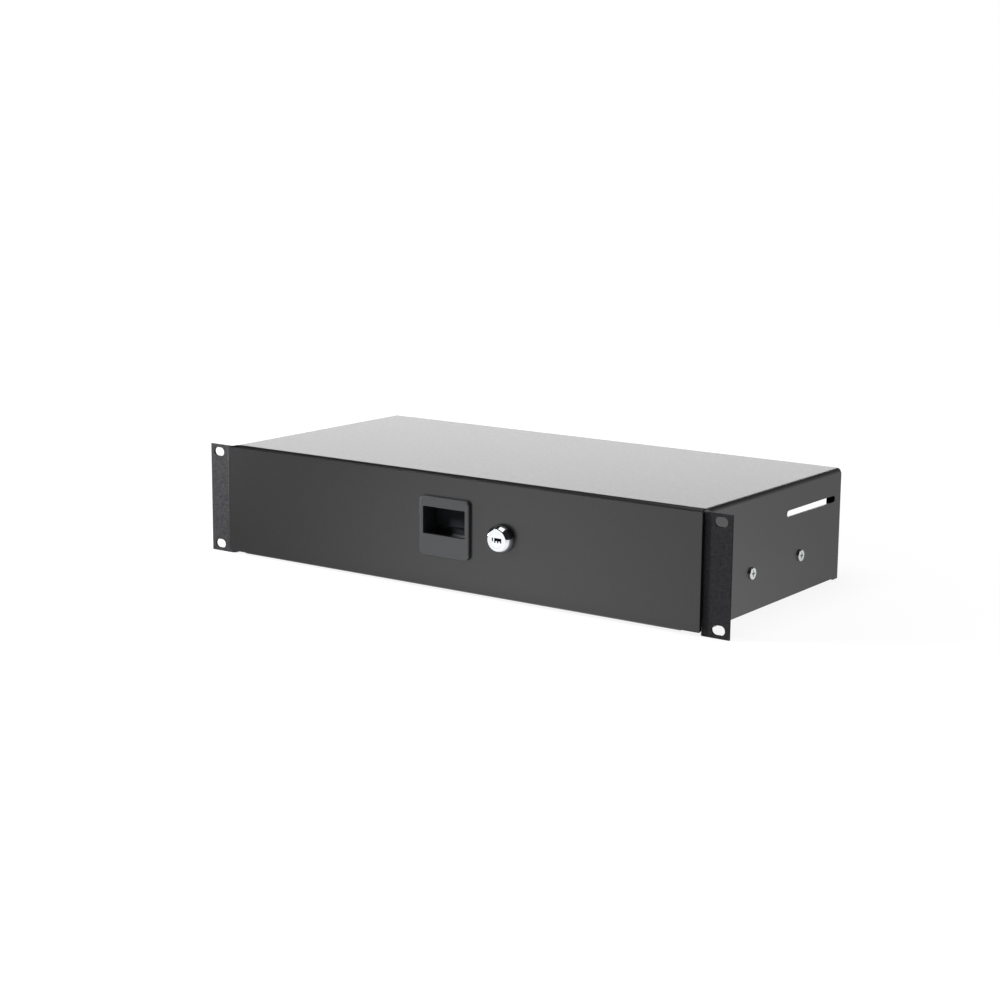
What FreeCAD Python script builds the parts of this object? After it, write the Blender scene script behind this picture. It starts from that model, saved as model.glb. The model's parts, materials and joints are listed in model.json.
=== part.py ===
import FreeCAD, Part
import math
import os
import Sketcher

# Lockable sliding drawer for a 19 inch rack, two units high.
# Frame: origin at the centre of the four rack slots, in the plane where the ears bear on the
# rack rails.  +X is to the right seen from the front, +Y goes back into the rack, +Z is up.

doc = FreeCAD.newDocument("rack_drawer")
dims = doc.addObject("Spreadsheet::Sheet", "dims")

SIZES = (
    # rack standard
    ("rack_width", 482.6, "overall width over the ears"),
    ("rack_pitch_across", 465.1, "rack slots, left to right"),
    ("rack_pitch_up", 76.2, "rack slots, bottom to top, two units"),
    ("rack_slot_length", 10.6, "rack slot, end to end"),
    ("rack_slot_width", 7.1, "rack slot, across"),
    ("ear_height", 88.1, "height of the ears"),
    # case: one folded sheet with the ears turned out from its sides
    ("case_sheet", 1.6, "case steel"),
    ("case_bend", 2.0, "inner bend radius of the case"),
    ("case_width", 438.0, "over the side walls"),
    ("case_top", 44.5, "outer face of the top"),
    ("case_bottom", -41.45, "lower edge of the side walls"),
    ("case_rear", 213.4, "rear face"),
    ("case_front", 5.6, "front edge of the top"),
    ("lip_drop", 9.0, "front lip of the top, folded down"),
    ("rear_flange", 12.5, "rear flanges, turned in"),
    ("foot_drop", 1.1, "rear foot of each side wall, below its edge"),
    ("foot_length", 10.5, "rear foot, along the wall"),
    ("fold_overlap", 1.0, "how far a fold runs into the sheet it grows from"),
    ("cable_slot_length", 78.5, "strap slot in each side wall, end to end"),
    ("cable_slot_width", 5.0, "strap slot, across"),
    ("cable_slot_middle", 161.6, "strap slot, from the rack plane"),
    ("cable_slot_up", 21.95, "strap slot, above the origin"),
    # ball-bearing slides
    ("slide_sheet", 1.2, "slide steel"),
    ("slide_thickness", 12.7, "whole slide, wall to tray"),
    ("slide_height", 45.4, "outer member"),
    ("slide_length", 200.0, "closed slide"),
    ("slide_front", 4.0, "front end of the slides"),
    ("slide_up", -12.75, "middle of the slides"),
    ("slide_bend", 0.6, "inner bend radius of the slide members"),
    ("web_gap", 1.6, "between the webs of outer and middle members"),
    ("ball_diameter", 3.5, "bearing balls"),
    ("race_clearance", 0.1, "ball to race"),
    ("race_depth", 0.45, "how deep a race is rolled into a flange"),
    ("flange_end", 10.7, "flange tips of outer and middle members, from the wall"),
    ("outer_row", 8.9, "outer ball rows, from the wall"),
    ("inner_row", 6.6, "inner ball rows, from the wall"),
    ("inner_flange_start", 4.5, "flange tips of the inner member, from the wall"),
    ("cage_sheet", 0.8, "ball cages"),
    ("cage_length", 102.0, "ball cages"),
    ("cage_start", 52.0, "ball cages, from the slides' front end"),
    ("cage_hole_clearance", 0.05, "ball to cage hole, radial"),
    ("cage_web", 0.35, "strip left on each side of a ball hole"),
    ("ball_pitch", 22.0, "along a cage"),
    ("screw_first", 69.7, "first slide screw, from the rack plane"),
    ("screw_pitch", 75.4, "slide screws, front to rear"),
    # tray
    ("tray_sheet", 1.2, "tray steel"),
    ("tray_corner", 2.4, "outer bend radius of the tray"),
    ("tray_bottom", -42.85, "under face of the tray"),
    ("tray_height", 44.85, "tray walls over all"),
    ("tray_depth", 203.0, "tray, front to rear"),
    ("tray_notch_left", -27.0, "front wall notch for latch and lock"),
    ("tray_notch_right", 69.0, "front wall notch for latch and lock"),
    ("tray_notch_bottom", -21.0, "front wall notch for latch and lock"),
    ("tray_notch_corner", 2.0, "corner radius of the notch"),
    # front panel
    ("panel_overlap", 0.8, "panel beyond the case, each side"),
    ("panel_bottom", -41.35, "lower edge of the panel"),
    ("panel_top", 44.05, "upper edge of the panel"),
    ("panel_sheet", 1.5, "front panel"),
    ("panel_gap", 2.1, "from the ears' front face to the panel"),
    ("panel_corner", 0.8, "corner radius of the panel"),
    ("panel_edge", 0.4, "rounding of the panel's front edge"),
    ("panel_return", 1.6, "ends of the panel, turned back beside the ears"),
    ("panel_cutout_corner", 1.0, "corner radius of the latch cut-out"),
    ("stud_near", 100.0, "inner studs, from the middle"),
    ("stud_inset", 34.0, "outer studs, from the outside of the case"),
    ("stud_up", -20.0, "studs, from the origin"),
    ("stud_end", 2.0, "studs beyond their nuts"),
    # fasteners
    ("screw_thread", 4.0, "M4 screws, studs and nuts"),
    ("thread_clearance", 0.03, "thread to its hole, radial"),
    ("hole_clearance", 0.3, "screw to a clearance hole, radial"),
    ("truss_head", 8.8, "head of the slide screws"),
    ("truss_rise", 1.7, "head height of the slide screws"),
    ("head_dome", 0.75, "share of a screw head's height that is domed"),
    ("nut_flats", 7.0, "M4 nut across flats"),
    ("nut_height", 3.2, "M4 nut"),
    ("nut_chamfer", 0.07, "turned chamfer of a nut, share of its width"),
    ("recess_width", 1.0, "cross recess, one wing"),
    ("recess_span", 4.6, "cross recess, over two wings"),
    ("recess_depth", 1.2, "cross recess"),
    # latch
    ("latch_across", 0.6, "middle of the latch, from the origin"),
    ("bezel_width", 46.0, "latch bezel"),
    ("bezel_bottom", -17.3, "latch bezel"),
    ("bezel_top", 28.2, "latch bezel"),
    ("bezel_rise", 2.7, "bezel in front of the panel"),
    ("bezel_corner", 4.0, "corner radius of the bezel"),
    ("bezel_edge", 1.0, "rounding of the bezel's front edge"),
    ("recess_opening_width", 39.0, "finger recess"),
    ("recess_opening_bottom", -0.9, "finger recess"),
    ("recess_opening_top", 20.3, "finger recess"),
    ("recess_corner", 0.8, "corner radius of the finger recess"),
    ("recess_floor", -6.0, "floor of the finger recess, behind the bezel's lip"),
    ("recess_sweep", 4.0, "rounding from the recess floor up to its rear wall"),
    ("latch_wall", 1.5, "moulded walls of the latch"),
    ("latch_body_bottom", -15.0, "latch body behind the panel"),
    ("latch_body_top", 26.5, "latch body behind the panel"),
    ("latch_body_depth", 17.7, "latch body behind the panel's front face"),
    ("latch_fit", 0.3, "latch body in the panel cut-out, each side"),
    ("pivot_back", 2.2, "latch pivot, from the rack plane"),
    ("pivot_up", 22.0, "latch pivot, from the origin"),
    ("pin_diameter", 2.5, "latch pin"),
    ("pin_clearance", 0.05, "lever on its pin, radial"),
    ("hub_diameter", 5.4, "hub of the lever"),
    ("lever_clearance", 0.5, "lever to the side walls of the recess"),
    ("flap_sheet", 2.0, "finger flap"),
    ("flap_front", 8.6, "front face of the flap"),
    ("flap_bottom", 2.3, "lower edge of the flap"),
    ("flap_shoulder", 2.0, "rounding on top of the flap"),
    ("flap_edge", 1.4, "rounding of the flap's lower front edge"),
    ("flap_gusset", 3.0, "gusset between hub and flap"),
    ("bolt_width", 16.0, "latch bolt"),
    ("bolt_front", 13.1, "front face of the bolt"),
    ("bolt_length", 7.0, "bolt, front to rear"),
    ("bolt_top", 35.0, "tip of the bolt"),
    ("bolt_bevel", 5.0, "bevel on the rear of the bolt"),
    ("bolt_nose", 1.5, "flat on the tip of the bolt"),
    ("arm_thickness", 4.0, "arm from the hub to the bolt"),
    ("arm_taper", 1.2, "how much thinner the arm is at the hub"),
    ("arm_up", 23.4, "under face of the arm"),
    ("arm_slot_clearance", 1.0, "slot for the arm, each side"),
    ("spring_wire", 0.7, "torsion spring"),
    ("spring_turns", 6.5, "torsion spring"),
    ("spring_gap", 0.25, "between the turns of the spring"),
    ("spring_leg", 4.0, "straight legs of the spring"),
    ("spring_radius", 2.1, "torsion spring, mean"),
    ("spring_start", 9.8, "torsion spring, from the middle of the latch"),
    # keeper under the case top
    ("keeper_front", 11.0, "front face of the keeper's leg"),
    ("keeper_bottom", 31.4, "lower edge of the keeper"),
    ("keeper_foot", 14.0, "welded foot of the keeper"),
    ("keeper_bend", 0.6, "inner bend radius of the keeper"),
    ("keeper_left", -16.0, "left end of the keeper"),
    ("keeper_right", 68.0, "right end of the keeper"),
    # cam lock
    ("lock_across", 52.4, "lock axis"),
    ("lock_up", 3.65, "lock axis"),
    ("lock_face", 18.0, "front face of the lock"),
    ("lock_base", 21.8, "collar of the lock at the panel"),
    ("lock_rise", 7.5, "lock in front of the panel"),
    ("lock_collar", 2.2, "straight part of the collar"),
    ("lock_shoulder", 19.6, "diameter where the face's edge begins"),
    ("lock_edge", 1.0, "height of the face's edge"),
    ("lock_barrel", 19.0, "threaded barrel"),
    ("lock_flats", 16.4, "flats of the barrel"),
    ("lock_fit", 0.15, "barrel in the panel hole, radial"),
    ("lock_rear", 13.4, "rear end of the barrel"),
    ("plug_diameter", 12.0, "turning plug"),
    ("plug_clearance", 0.05, "plug in the barrel, radial"),
    ("key_left", -1.9, "keyway, left end from the lock axis"),
    ("key_right", 4.5, "keyway, right end from the lock axis"),
    ("key_top", 1.6, "keyway, upper side from the lock axis"),
    ("key_height", 2.2, "keyway, short way"),
    ("key_leg_width", 1.2, "each of the three legs under the keyway"),
    ("key_leg_drop", 1.3, "legs under the keyway"),
    ("key_guide_left", -4.1, "guide slot beside the keyway"),
    ("key_guide_width", 1.1, "guide slot beside the keyway"),
    ("key_guide_height", 2.7, "guide slot beside the keyway"),
    ("key_depth", 14.0, "keyway"),
    ("tang_width", 7.0, "square tang for the cam"),
    ("tang_clearance", 0.05, "tang in the cam, each side"),
    ("cam_sheet", 2.4, "cam"),
    ("cam_width", 15.0, "cam at the plug"),
    ("cam_reach", 33.0, "cam, from the lock axis to its tip"),
    ("cam_tip", 9.0, "cam at its tip"),
    ("cam_rounding", 3.5, "corner radius of the cam"),
    ("cam_screw_length", 7.0, "shank of the cam screw"),
    ("cam_screw_hole", 8.0, "depth of the cam screw's hole"),
    ("cam_head", 9.6, "head of the cam screw"),
    ("cam_head_rise", 2.2, "head of the cam screw"),
    ("lock_nut_flats", 22.0, "lock nut"),
    ("lock_nut_height", 4.0, "lock nut"),
    ("lock_washer_diameter", 25.0, "lock washer"),
    ("lock_washer_sheet", 0.8, "lock washer"),
    # workshop
    ("cut_start", 1.0, "how far outside a piece a cut starts or ends"),
)

for row, (alias, size, meaning) in enumerate(SIZES, start=1):
    dims.set("A%d" % row, meaning)
    dims.set("B%d" % row, str(size))
    dims.setAlias("B%d" % row, alias)
doc.recompute()

# Names for lengths that several pieces share, each worked out from the sheet.
WALL = "(dims.case_width / 2 - dims.case_sheet)"
BEND = "(dims.case_bend + dims.case_sheet)"
PANEL_BACK = "(-dims.case_sheet - dims.panel_gap)"
PANEL_FRONT = "(%s - dims.panel_sheet)" % PANEL_BACK
BEZEL_FRONT = "(%s - dims.bezel_rise)" % PANEL_FRONT
LATCH_REAR = "(%s + dims.latch_body_depth)" % PANEL_FRONT
LOCK_FRONT = "(%s - dims.lock_rise)" % PANEL_FRONT
PANEL_HALF = "(dims.case_width / 2 + dims.panel_overlap)"
PANEL_MIDDLE_UP = "((dims.panel_top + dims.panel_bottom) / 2)"
LATCH_HALF = "(dims.recess_opening_width / 2 + dims.latch_wall)"
LATCH_INSIDE_REAR = "(%s - dims.latch_wall)" % LATCH_REAR
TRAY_HALF = "(%s - dims.slide_thickness)" % WALL
RACE = "(dims.ball_diameter / 2 + dims.race_clearance)"
FLANGE_GAP = "(2 * %s - 2 * dims.race_depth)" % RACE
OUTER_INSIDE = "(dims.slide_height / 2 - dims.slide_sheet)"
OUTER_BALLS = "(%s - %s / 2)" % (OUTER_INSIDE, FLANGE_GAP)
MIDDLE_OUTSIDE = "(%s - %s)" % (OUTER_INSIDE, FLANGE_GAP)
MIDDLE_INSIDE = "(%s - dims.slide_sheet)" % MIDDLE_OUTSIDE
INNER_BALLS = "(%s - %s / 2)" % (MIDDLE_INSIDE, FLANGE_GAP)
INNER_OUTSIDE = "(%s - %s)" % (MIDDLE_INSIDE, FLANGE_GAP)
CAGE_HOLE = "(dims.ball_diameter + 2 * dims.cage_hole_clearance)"
ACROSS_ALL = "(2 * dims.case_width)"
BALL_COUNT = 5
TINY = 1e-4
UP = FreeCAD.Vector(0, 0, 1)
ACROSS = FreeCAD.Vector(1, 0, 0)
BACK = FreeCAD.Vector(0, 1, 0)


def through(sheet):
    """The length of a cut that clears a sheet on both of its sides."""
    return "(4 * %s)" % sheet


def number(text):
    """The value of a sheet expression."""
    return float(dims.evalExpression(text))


def point(corner):
    """The place of a pair of sheet expressions."""
    return FreeCAD.Vector(number(corner[0]), number(corner[1]), 0)


def piece(label, moved=None):
    """A body for one sub-part; moved gives its Placement's base as three expressions."""
    body = doc.addObject("PartDesign::Body", label)
    body.Label = label
    for axis, text in zip("xyz", moved or ()):
        body.setExpression("Placement.Base." + axis, text)
    return body


def sketch_on(body, name, role, offset="0"):
    """A sketch on one of the body's own planes, moved along the plane's normal by offset."""
    sketch = body.newObject("Sketcher::SketchObject", name)
    support = next(f for f in body.Origin.OriginFeatures if f.Role == role)
    sketch.AttachmentSupport = [(support, "")]
    sketch.MapMode = "FlatFace"
    sketch.setExpression("AttachmentOffset.Base.z", offset)
    return sketch


def place_point(sketch, geometry, which, x, y):
    """Holds one point of a sketch element at two sheet expressions."""
    for kind, text in (("DistanceX", x), ("DistanceY", y)):
        rule = Sketcher.Constraint(kind, -1, 1, geometry, which, number(text))
        index = sketch.addConstraint(rule)
        sketch.setExpression("Constraints[%d]" % index, text)


def hold(sketch, kind, geometry, text):
    """Binds a radius or a diameter to a sheet expression."""
    index = sketch.addConstraint(Sketcher.Constraint(kind, geometry, number(text)))
    sketch.setExpression("Constraints[%d]" % index, text)


def outline(sketch, corners):
    """A closed outline.  A corner is (x, y) or, at a right angle, (x, y, radius)."""
    count = len(corners)
    spots = [point(corner) for corner in corners]
    ways = [(spots[(i + 1) % count] - spots[i]).normalize() for i in range(count)]

    def beside(i, way, sign):
        x, y = corners[i][:2]
        if len(corners[i]) == 2:
            return x, y
        radius = corners[i][2]
        return ("%s + %d * %s" % (x, round(sign * way.x), radius),
                "%s + %d * %s" % (y, round(sign * way.y), radius))

    arrive = [beside(i, ways[i - 1], -1) for i in range(count)]
    leave = [beside(i, ways[i], 1) for i in range(count)]
    chain = []
    for i in range(count):
        after = (i + 1) % count
        if len(corners[i]) == 3:
            chain.append(rounded_corner(sketch, spots[i], point(arrive[i]), point(leave[i]), corners[i][2]))
        line = sketch.addGeometry(Part.LineSegment(point(leave[i]), point(arrive[after])), False)
        place_point(sketch, line, 1, *leave[i])
        if len(corners[after]) == 3:
            place_point(sketch, line, 2, *arrive[after])
        chain.append((line, 1, 2))
    for (this, _, last), (that, first, _) in zip(chain, chain[1:] + chain[:1]):
        sketch.addConstraint(Sketcher.Constraint("Coincident", this, last, that, first))


def rounded_corner(sketch, corner, start, end, radius):
    """The arc of one rounded corner, with the names of its first and last ends."""
    centre = start + end - corner
    middle = centre + (corner - centre).normalize() * (start - centre).Length
    arc = sketch.addGeometry(Part.Arc(start, middle, end), False)
    hold(sketch, "Radius", arc, radius)
    turned = (sketch.getPoint(arc, 1) - start).Length > (sketch.getPoint(arc, 2) - start).Length
    return (arc, 2, 1) if turned else (arc, 1, 2)


def box_corners(left, right, low, high, radius=None):
    """The four corners of an upright rectangle, for outline."""
    spots = [(left, low), (right, low), (right, high), (left, high)]
    return [spot + (radius,) for spot in spots] if radius else spots


def ring(sketch, x, y, diameter):
    """A circle."""
    circle = sketch.addGeometry(Part.Circle(point((x, y)), UP, number(diameter) / 2), False)
    place_point(sketch, circle, 3, x, y)
    hold(sketch, "Diameter", circle, diameter)


def slot(sketch, x, y, length, width):
    """An obround along the sketch's first axis."""
    half = "(%s - %s) / 2" % (length, width)
    arcs = []
    for side, start in (("-", 90), ("+", 270)):
        centre = ("%s %s %s" % (x, side, half), y)
        circle = Part.Circle(point(centre), UP, number(width) / 2)
        bow = Part.ArcOfCircle(circle, math.radians(start), math.radians(start + 180))
        arc = sketch.addGeometry(bow, False)
        place_point(sketch, arc, 3, *centre)
        arcs.append(arc)
    left, right = arcs
    low = sketch.addGeometry(Part.LineSegment(sketch.getPoint(left, 2), sketch.getPoint(right, 1)), False)
    high = sketch.addGeometry(Part.LineSegment(sketch.getPoint(right, 2), sketch.getPoint(left, 1)), False)
    for arc, end, line, start in ((left, 2, low, 1), (right, 1, low, 2), (right, 2, high, 1), (left, 1, high, 2)):
        sketch.addConstraint(Sketcher.Constraint("Tangent", arc, end, line, start))
    hold(sketch, "Radius", left, "%s / 2" % width)
    sketch.addConstraint(Sketcher.Constraint("Equal", left, right))


def flatted_ring(sketch, x, y, diameter, flats):
    """A circle with two flats, at the top and at the bottom."""
    reach = "sqrt((%s)^2 - (%s)^2) / 2" % (diameter, flats)
    rise = "(%s) / 2" % flats
    lines = []
    for up, start, end in (("-", "-", "+"), ("+", "+", "-")):
        ends = [("%s %s %s" % (x, way, reach), "%s %s %s" % (y, up, rise)) for way in (start, end)]
        line = sketch.addGeometry(Part.LineSegment(point(ends[0]), point(ends[1])), False)
        place_point(sketch, line, 1, *ends[0])
        place_point(sketch, line, 2, *ends[1])
        lines.append((line, point(ends[0]), point(ends[1])))
    radius = number(diameter) / 2
    for (low, _, start), (high, end, _), way in ((lines[0], lines[1], 1), (lines[1], lines[0], -1)):
        middle = point((x, y)) + ACROSS * (way * radius)
        arc = sketch.addGeometry(Part.Arc(start, middle, end), False)
        hold(sketch, "Diameter", arc, diameter)
        first, last = (1, 2) if (sketch.getPoint(arc, 1) - start).Length < radius / 10 else (2, 1)
        sketch.addConstraint(Sketcher.Constraint("Coincident", low, 2, arc, first))
        sketch.addConstraint(Sketcher.Constraint("Coincident", high, 1, arc, last))


def hexagon(sketch, flats):
    """A hexagon about the sketch's origin."""
    corners = []
    for turn in range(0, 360, 60):
        corners.append(("%s / 2 / cos(30 deg) * cos(%d deg)" % (flats, turn),
                        "%s / 2 / cos(30 deg) * sin(%d deg)" % (flats, turn)))
    outline(sketch, corners)


def grow(body, kind, name, sketch, length, middle, against):
    """A Pad or a Pocket of a sketch, along the sketch's normal or against it."""
    feature = body.newObject("PartDesign::" + kind, name)
    feature.Profile = sketch
    feature.setExpression("Length", length)
    feature.Midplane = middle
    feature.Reversed = against if kind == "Pad" else not against
    doc.recompute()
    return feature


def pad(body, name, sketch, length, middle=False, against=False):
    return grow(body, "Pad", name, sketch, length, middle, against)


def pocket(body, name, sketch, length, middle=False, against=True):
    before = body.Shape.Volume
    feature = grow(body, "Pocket", name, sketch, length, middle, against)
    if feature.Shape.Volume > before - TINY:
        raise RuntimeError("%s of %s cuts nothing" % (name, body.Label))
    return feature


def turned(body, name, sketch, axis):
    """A full revolution of a sketch about one of its own axes."""
    feature = body.newObject("PartDesign::Revolution", name)
    feature.Profile = sketch
    feature.ReferenceAxis = (sketch, [axis])
    feature.Angle = 360
    doc.recompute()
    return feature


def edges_where(shape, test):
    """Names of the edges whose ends and middle all pass a test."""
    names = []
    for index, edge in enumerate(shape.Edges, start=1):
        spots = [vertex.Point for vertex in edge.Vertexes] + [edge.valueAt(sum(edge.ParameterRange) / 2)]
        if all(test(spot) for spot in spots):
            names.append("Edge%d" % index)
    return names


def eased(body, kind, name, test, size):
    """A Fillet or a Chamfer on the edges that pass a test."""
    base = body.Tip
    feature = body.newObject("PartDesign::" + kind, name)
    feature.Base = (base, edges_where(base.Shape, test))
    feature.setExpression("Radius" if kind == "Fillet" else "Size", size)
    doc.recompute()
    return feature


def near(a, b):
    """Whether two lengths are the same."""
    return abs(a - b) < TINY


def mirrored(label, source):
    """The left-hand twin of a right-hand piece."""
    twin = doc.addObject("Part::Mirroring", label)
    twin.Label = label
    twin.Source = source
    twin.Normal = FreeCAD.Vector(1, 0, 0)
    doc.recompute()
    return twin


def group(label, pattern, places):
    """Several copies of one solid.  A place is three expressions and a turn (axis, degrees)."""
    copies = []
    for index, (spot, axis, degrees) in enumerate(places):
        copy = doc.addObject("App::Link", "%s_%d" % (label, index + 1))
        copy.LinkedObject = pattern
        copy.LinkTransform = False
        copy.Placement = FreeCAD.Placement(FreeCAD.Vector(), FreeCAD.Rotation(axis, degrees))
        for side, text in zip("xyz", spot):
            copy.setExpression("Placement.Base." + side, text)
        copies.append(copy)
    whole = doc.addObject("Part::Compound", label)
    whole.Label = label
    whole.Links = copies
    doc.recompute()
    return whole


def make_case():
    """The case: top, sides, rack ears, front lip and rear flanges, folded from one sheet."""
    body = piece("case_shell")
    half, top, bottom = "dims.case_width / 2", "dims.case_top", "dims.case_bottom"
    sheet, inside = "dims.case_sheet", "dims.case_bend"
    front, rear = "dims.case_front", "dims.case_rear"
    before_bend = "%s - %s" % (rear, BEND)

    section = sketch_on(body, "section", "XZ_Plane", "-(%s)" % front)
    outline(section, [
        ("-" + half, bottom), ("-" + half, top, BEND), (half, top, BEND), (half, bottom),
        (WALL, bottom), (WALL, "%s - %s" % (top, sheet), inside),
        ("-" + WALL, "%s - %s" % (top, sheet), inside), ("-" + WALL, bottom)])
    pad(body, "wrapper", section, "%s - %s" % (before_bend, front), against=True)

    ears = sketch_on(body, "ear_section", "XY_Plane")
    for side in ("", "-"):
        outline(ears, [
            (side + WALL, front), (side + WALL, "-" + sheet, BEND),
            (side + "dims.rack_width / 2", "-" + sheet), (side + "dims.rack_width / 2", "0"),
            (side + half, "0", inside), (side + half, front)])
    pad(body, "ears", ears, "dims.ear_height", middle=True)

    flat = "dims.case_width - 2 * %s" % BEND
    lip = sketch_on(body, "lip_section", "YZ_Plane")
    lip_face, joint = "%s - %s" % (front, BEND), "%s + dims.fold_overlap" % front
    outline(lip, [
        (joint, top), (lip_face, top, BEND), (lip_face, "%s - dims.lip_drop" % top),
        ("%s + %s" % (lip_face, sheet), "%s - dims.lip_drop" % top),
        ("%s + %s" % (lip_face, sheet), "%s - %s" % (top, sheet), inside),
        (joint, "%s - %s" % (top, sheet))])
    pad(body, "front_lip", lip, flat, middle=True)

    rear_top = sketch_on(body, "rear_top_section", "YZ_Plane")
    joint = "%s - dims.fold_overlap" % before_bend
    outline(rear_top, [
        (joint, top), (rear, top, BEND), (rear, "%s - dims.rear_flange" % top),
        ("%s - %s" % (rear, sheet), "%s - dims.rear_flange" % top),
        ("%s - %s" % (rear, sheet), "%s - %s" % (top, sheet), inside),
        (joint, "%s - %s" % (top, sheet))])
    pad(body, "rear_top_flange", rear_top, "%s - 2 * dims.rear_flange" % flat, middle=True)

    foot = "%s - dims.foot_drop" % bottom
    sides = sketch_on(body, "rear_side_section", "XY_Plane", foot)
    for side in ("", "-"):
        outline(sides, [
            (side + half, joint), (side + half, rear, BEND),
            (side + "(%s - dims.rear_flange)" % half, rear),
            (side + "(%s - dims.rear_flange)" % half, "%s - %s" % (rear, sheet)),
            (side + WALL, "%s - %s" % (rear, sheet), inside), (side + WALL, joint)])
    pad(body, "rear_side_flanges", sides, "%s - %s - (%s)" % (top, BEND, foot))

    feet = sketch_on(body, "feet_section", "XZ_Plane", "-(%s - dims.foot_length)" % rear)
    for side in ("", "-"):
        outline(feet, box_corners(side + WALL, side + half, foot, bottom))
    pad(body, "feet", feet, "dims.foot_length - %s" % BEND, against=True)

    holes = sketch_on(body, "rack_slot_outline", "XZ_Plane")
    for across in ("-", ""):
        for up in ("-", ""):
            slot(holes, across + "dims.rack_pitch_across / 2", up + "dims.rack_pitch_up / 2",
                 "dims.rack_slot_length", "dims.rack_slot_width")
    pocket(body, "rack_slots", holes, through(sheet), middle=True)

    straps = sketch_on(body, "strap_slot_outline", "YZ_Plane")
    slot(straps, "dims.cable_slot_middle", "dims.cable_slot_up",
         "dims.cable_slot_length", "dims.cable_slot_width")
    pocket(body, "strap_slots", straps, ACROSS_ALL, middle=True)

    screws = sketch_on(body, "screw_hole_outline", "YZ_Plane")
    for along in slide_screw_places():
        ring(screws, along, "dims.slide_up", "dims.screw_thread + 2 * dims.hole_clearance")
    pocket(body, "screw_holes", screws, ACROSS_ALL, middle=True)
    return body


def slide_screw_places():
    """Both slide screws along a wall, from the rack plane."""
    return ["dims.screw_first", "dims.screw_first + dims.screw_pitch"]


def from_wall(depth):
    """The X of a place in the right-hand slide, given from the inner face of the case wall."""
    return "(%s - %s)" % (WALL, depth)


def slide_level(sign, height):
    """The Z of a place over (+) or under (-) the middle of the slides."""
    return "dims.slide_up %s (%s)" % (sign, height)


def channel(body, web, tip, height, races, hole):
    """A slide member: a C channel with its ball races and its screw holes.

    web and tip are the far side of the web and the flange tips, from the wall.
    """
    sheet, inside = "dims.slide_sheet", "dims.slide_bend"
    outside = "(%s + %s)" % (inside, sheet)
    step = "+" if number(tip) > number(web) else "-"
    inner_web = "%s %s %s" % (web, step, sheet)
    section = sketch_on(body, "section", "XZ_Plane", "-dims.slide_front")
    low, high = slide_level("-", height), slide_level("+", height)
    inner_low, inner_high = (slide_level(sign, "%s - %s" % (height, sheet)) for sign in "-+")
    outline(section, [
        (from_wall(web), low, outside), (from_wall(tip), low), (from_wall(tip), inner_low),
        (from_wall("(%s)" % inner_web), inner_low, inside),
        (from_wall("(%s)" % inner_web), inner_high, inside),
        (from_wall(tip), inner_high), (from_wall(tip), high), (from_wall(web), high, outside)])
    pad(body, "rolled_channel", section, "dims.slide_length", against=True)
    grooves = sketch_on(body, "race_section", "XZ_Plane", "-dims.slide_front")
    for row, balls in races:
        for sign in "-+":
            ring(grooves, from_wall(row), slide_level(sign, balls), "2 * " + RACE)
    pocket(body, "races", grooves, "dims.slide_length")
    if hole:
        drilled = sketch_on(body, "screw_hole_outline", "YZ_Plane", from_wall(inner_web))
        for along in slide_screw_places():
            ring(drilled, along, "dims.slide_up", hole)
        pocket(body, "screw_holes", drilled, through(sheet), middle=True)
    return body


def make_slide_members():
    """Three nested channels: outer on the case, middle between the ball rows, inner on the tray."""
    thread = "dims.screw_thread + 2 * dims.thread_clearance"
    outer = channel(
        piece("right_slide_outer"), "0", "dims.flange_end", "dims.slide_height / 2",
        [("dims.outer_row", OUTER_BALLS)], thread)
    middle_web = "(dims.slide_sheet + dims.web_gap)"
    middle = channel(
        piece("right_slide_middle"), middle_web, "dims.flange_end", MIDDLE_OUTSIDE,
        [("dims.outer_row", OUTER_BALLS), ("dims.inner_row", INNER_BALLS)], None)
    inner = channel(
        piece("right_slide_inner"), "dims.slide_thickness", "dims.inner_flange_start", INNER_OUTSIDE,
        [("dims.inner_row", INNER_BALLS)], thread)
    return [outer, middle, inner]


def ball_places():
    """The balls of one row, along the slide."""
    middle = "dims.slide_front + dims.cage_start + dims.cage_length / 2"
    return ["%s + %s * dims.ball_pitch" % (middle, i - (BALL_COUNT - 1) / 2) for i in range(BALL_COUNT)]


def make_outer_cage():
    """A channel of thin strip with a hole for each ball of the two outer rows."""
    body = piece("right_outer_cage")
    sheet = "dims.cage_sheet"
    web = "(dims.slide_sheet + (dims.web_gap - %s) / 2)" % sheet
    tip = "(dims.outer_row + %s)" % RACE
    section = sketch_on(body, "section", "XZ_Plane", "-(dims.slide_front + dims.cage_start)")
    low, high = (slide_level(sign, "%s + %s / 2" % (OUTER_BALLS, sheet)) for sign in "-+")
    inner_low, inner_high = (slide_level(sign, "%s - %s / 2" % (OUTER_BALLS, sheet)) for sign in "-+")
    inner_web = "(%s + %s)" % (web, sheet)
    outline(section, [
        (from_wall(web), low), (from_wall(tip), low), (from_wall(tip), inner_low),
        (from_wall(inner_web), inner_low), (from_wall(inner_web), inner_high),
        (from_wall(tip), inner_high), (from_wall(tip), high), (from_wall(web), high)])
    pad(body, "strip", section, "dims.cage_length", against=True)
    return drill_cage(body, "dims.outer_row")


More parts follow.
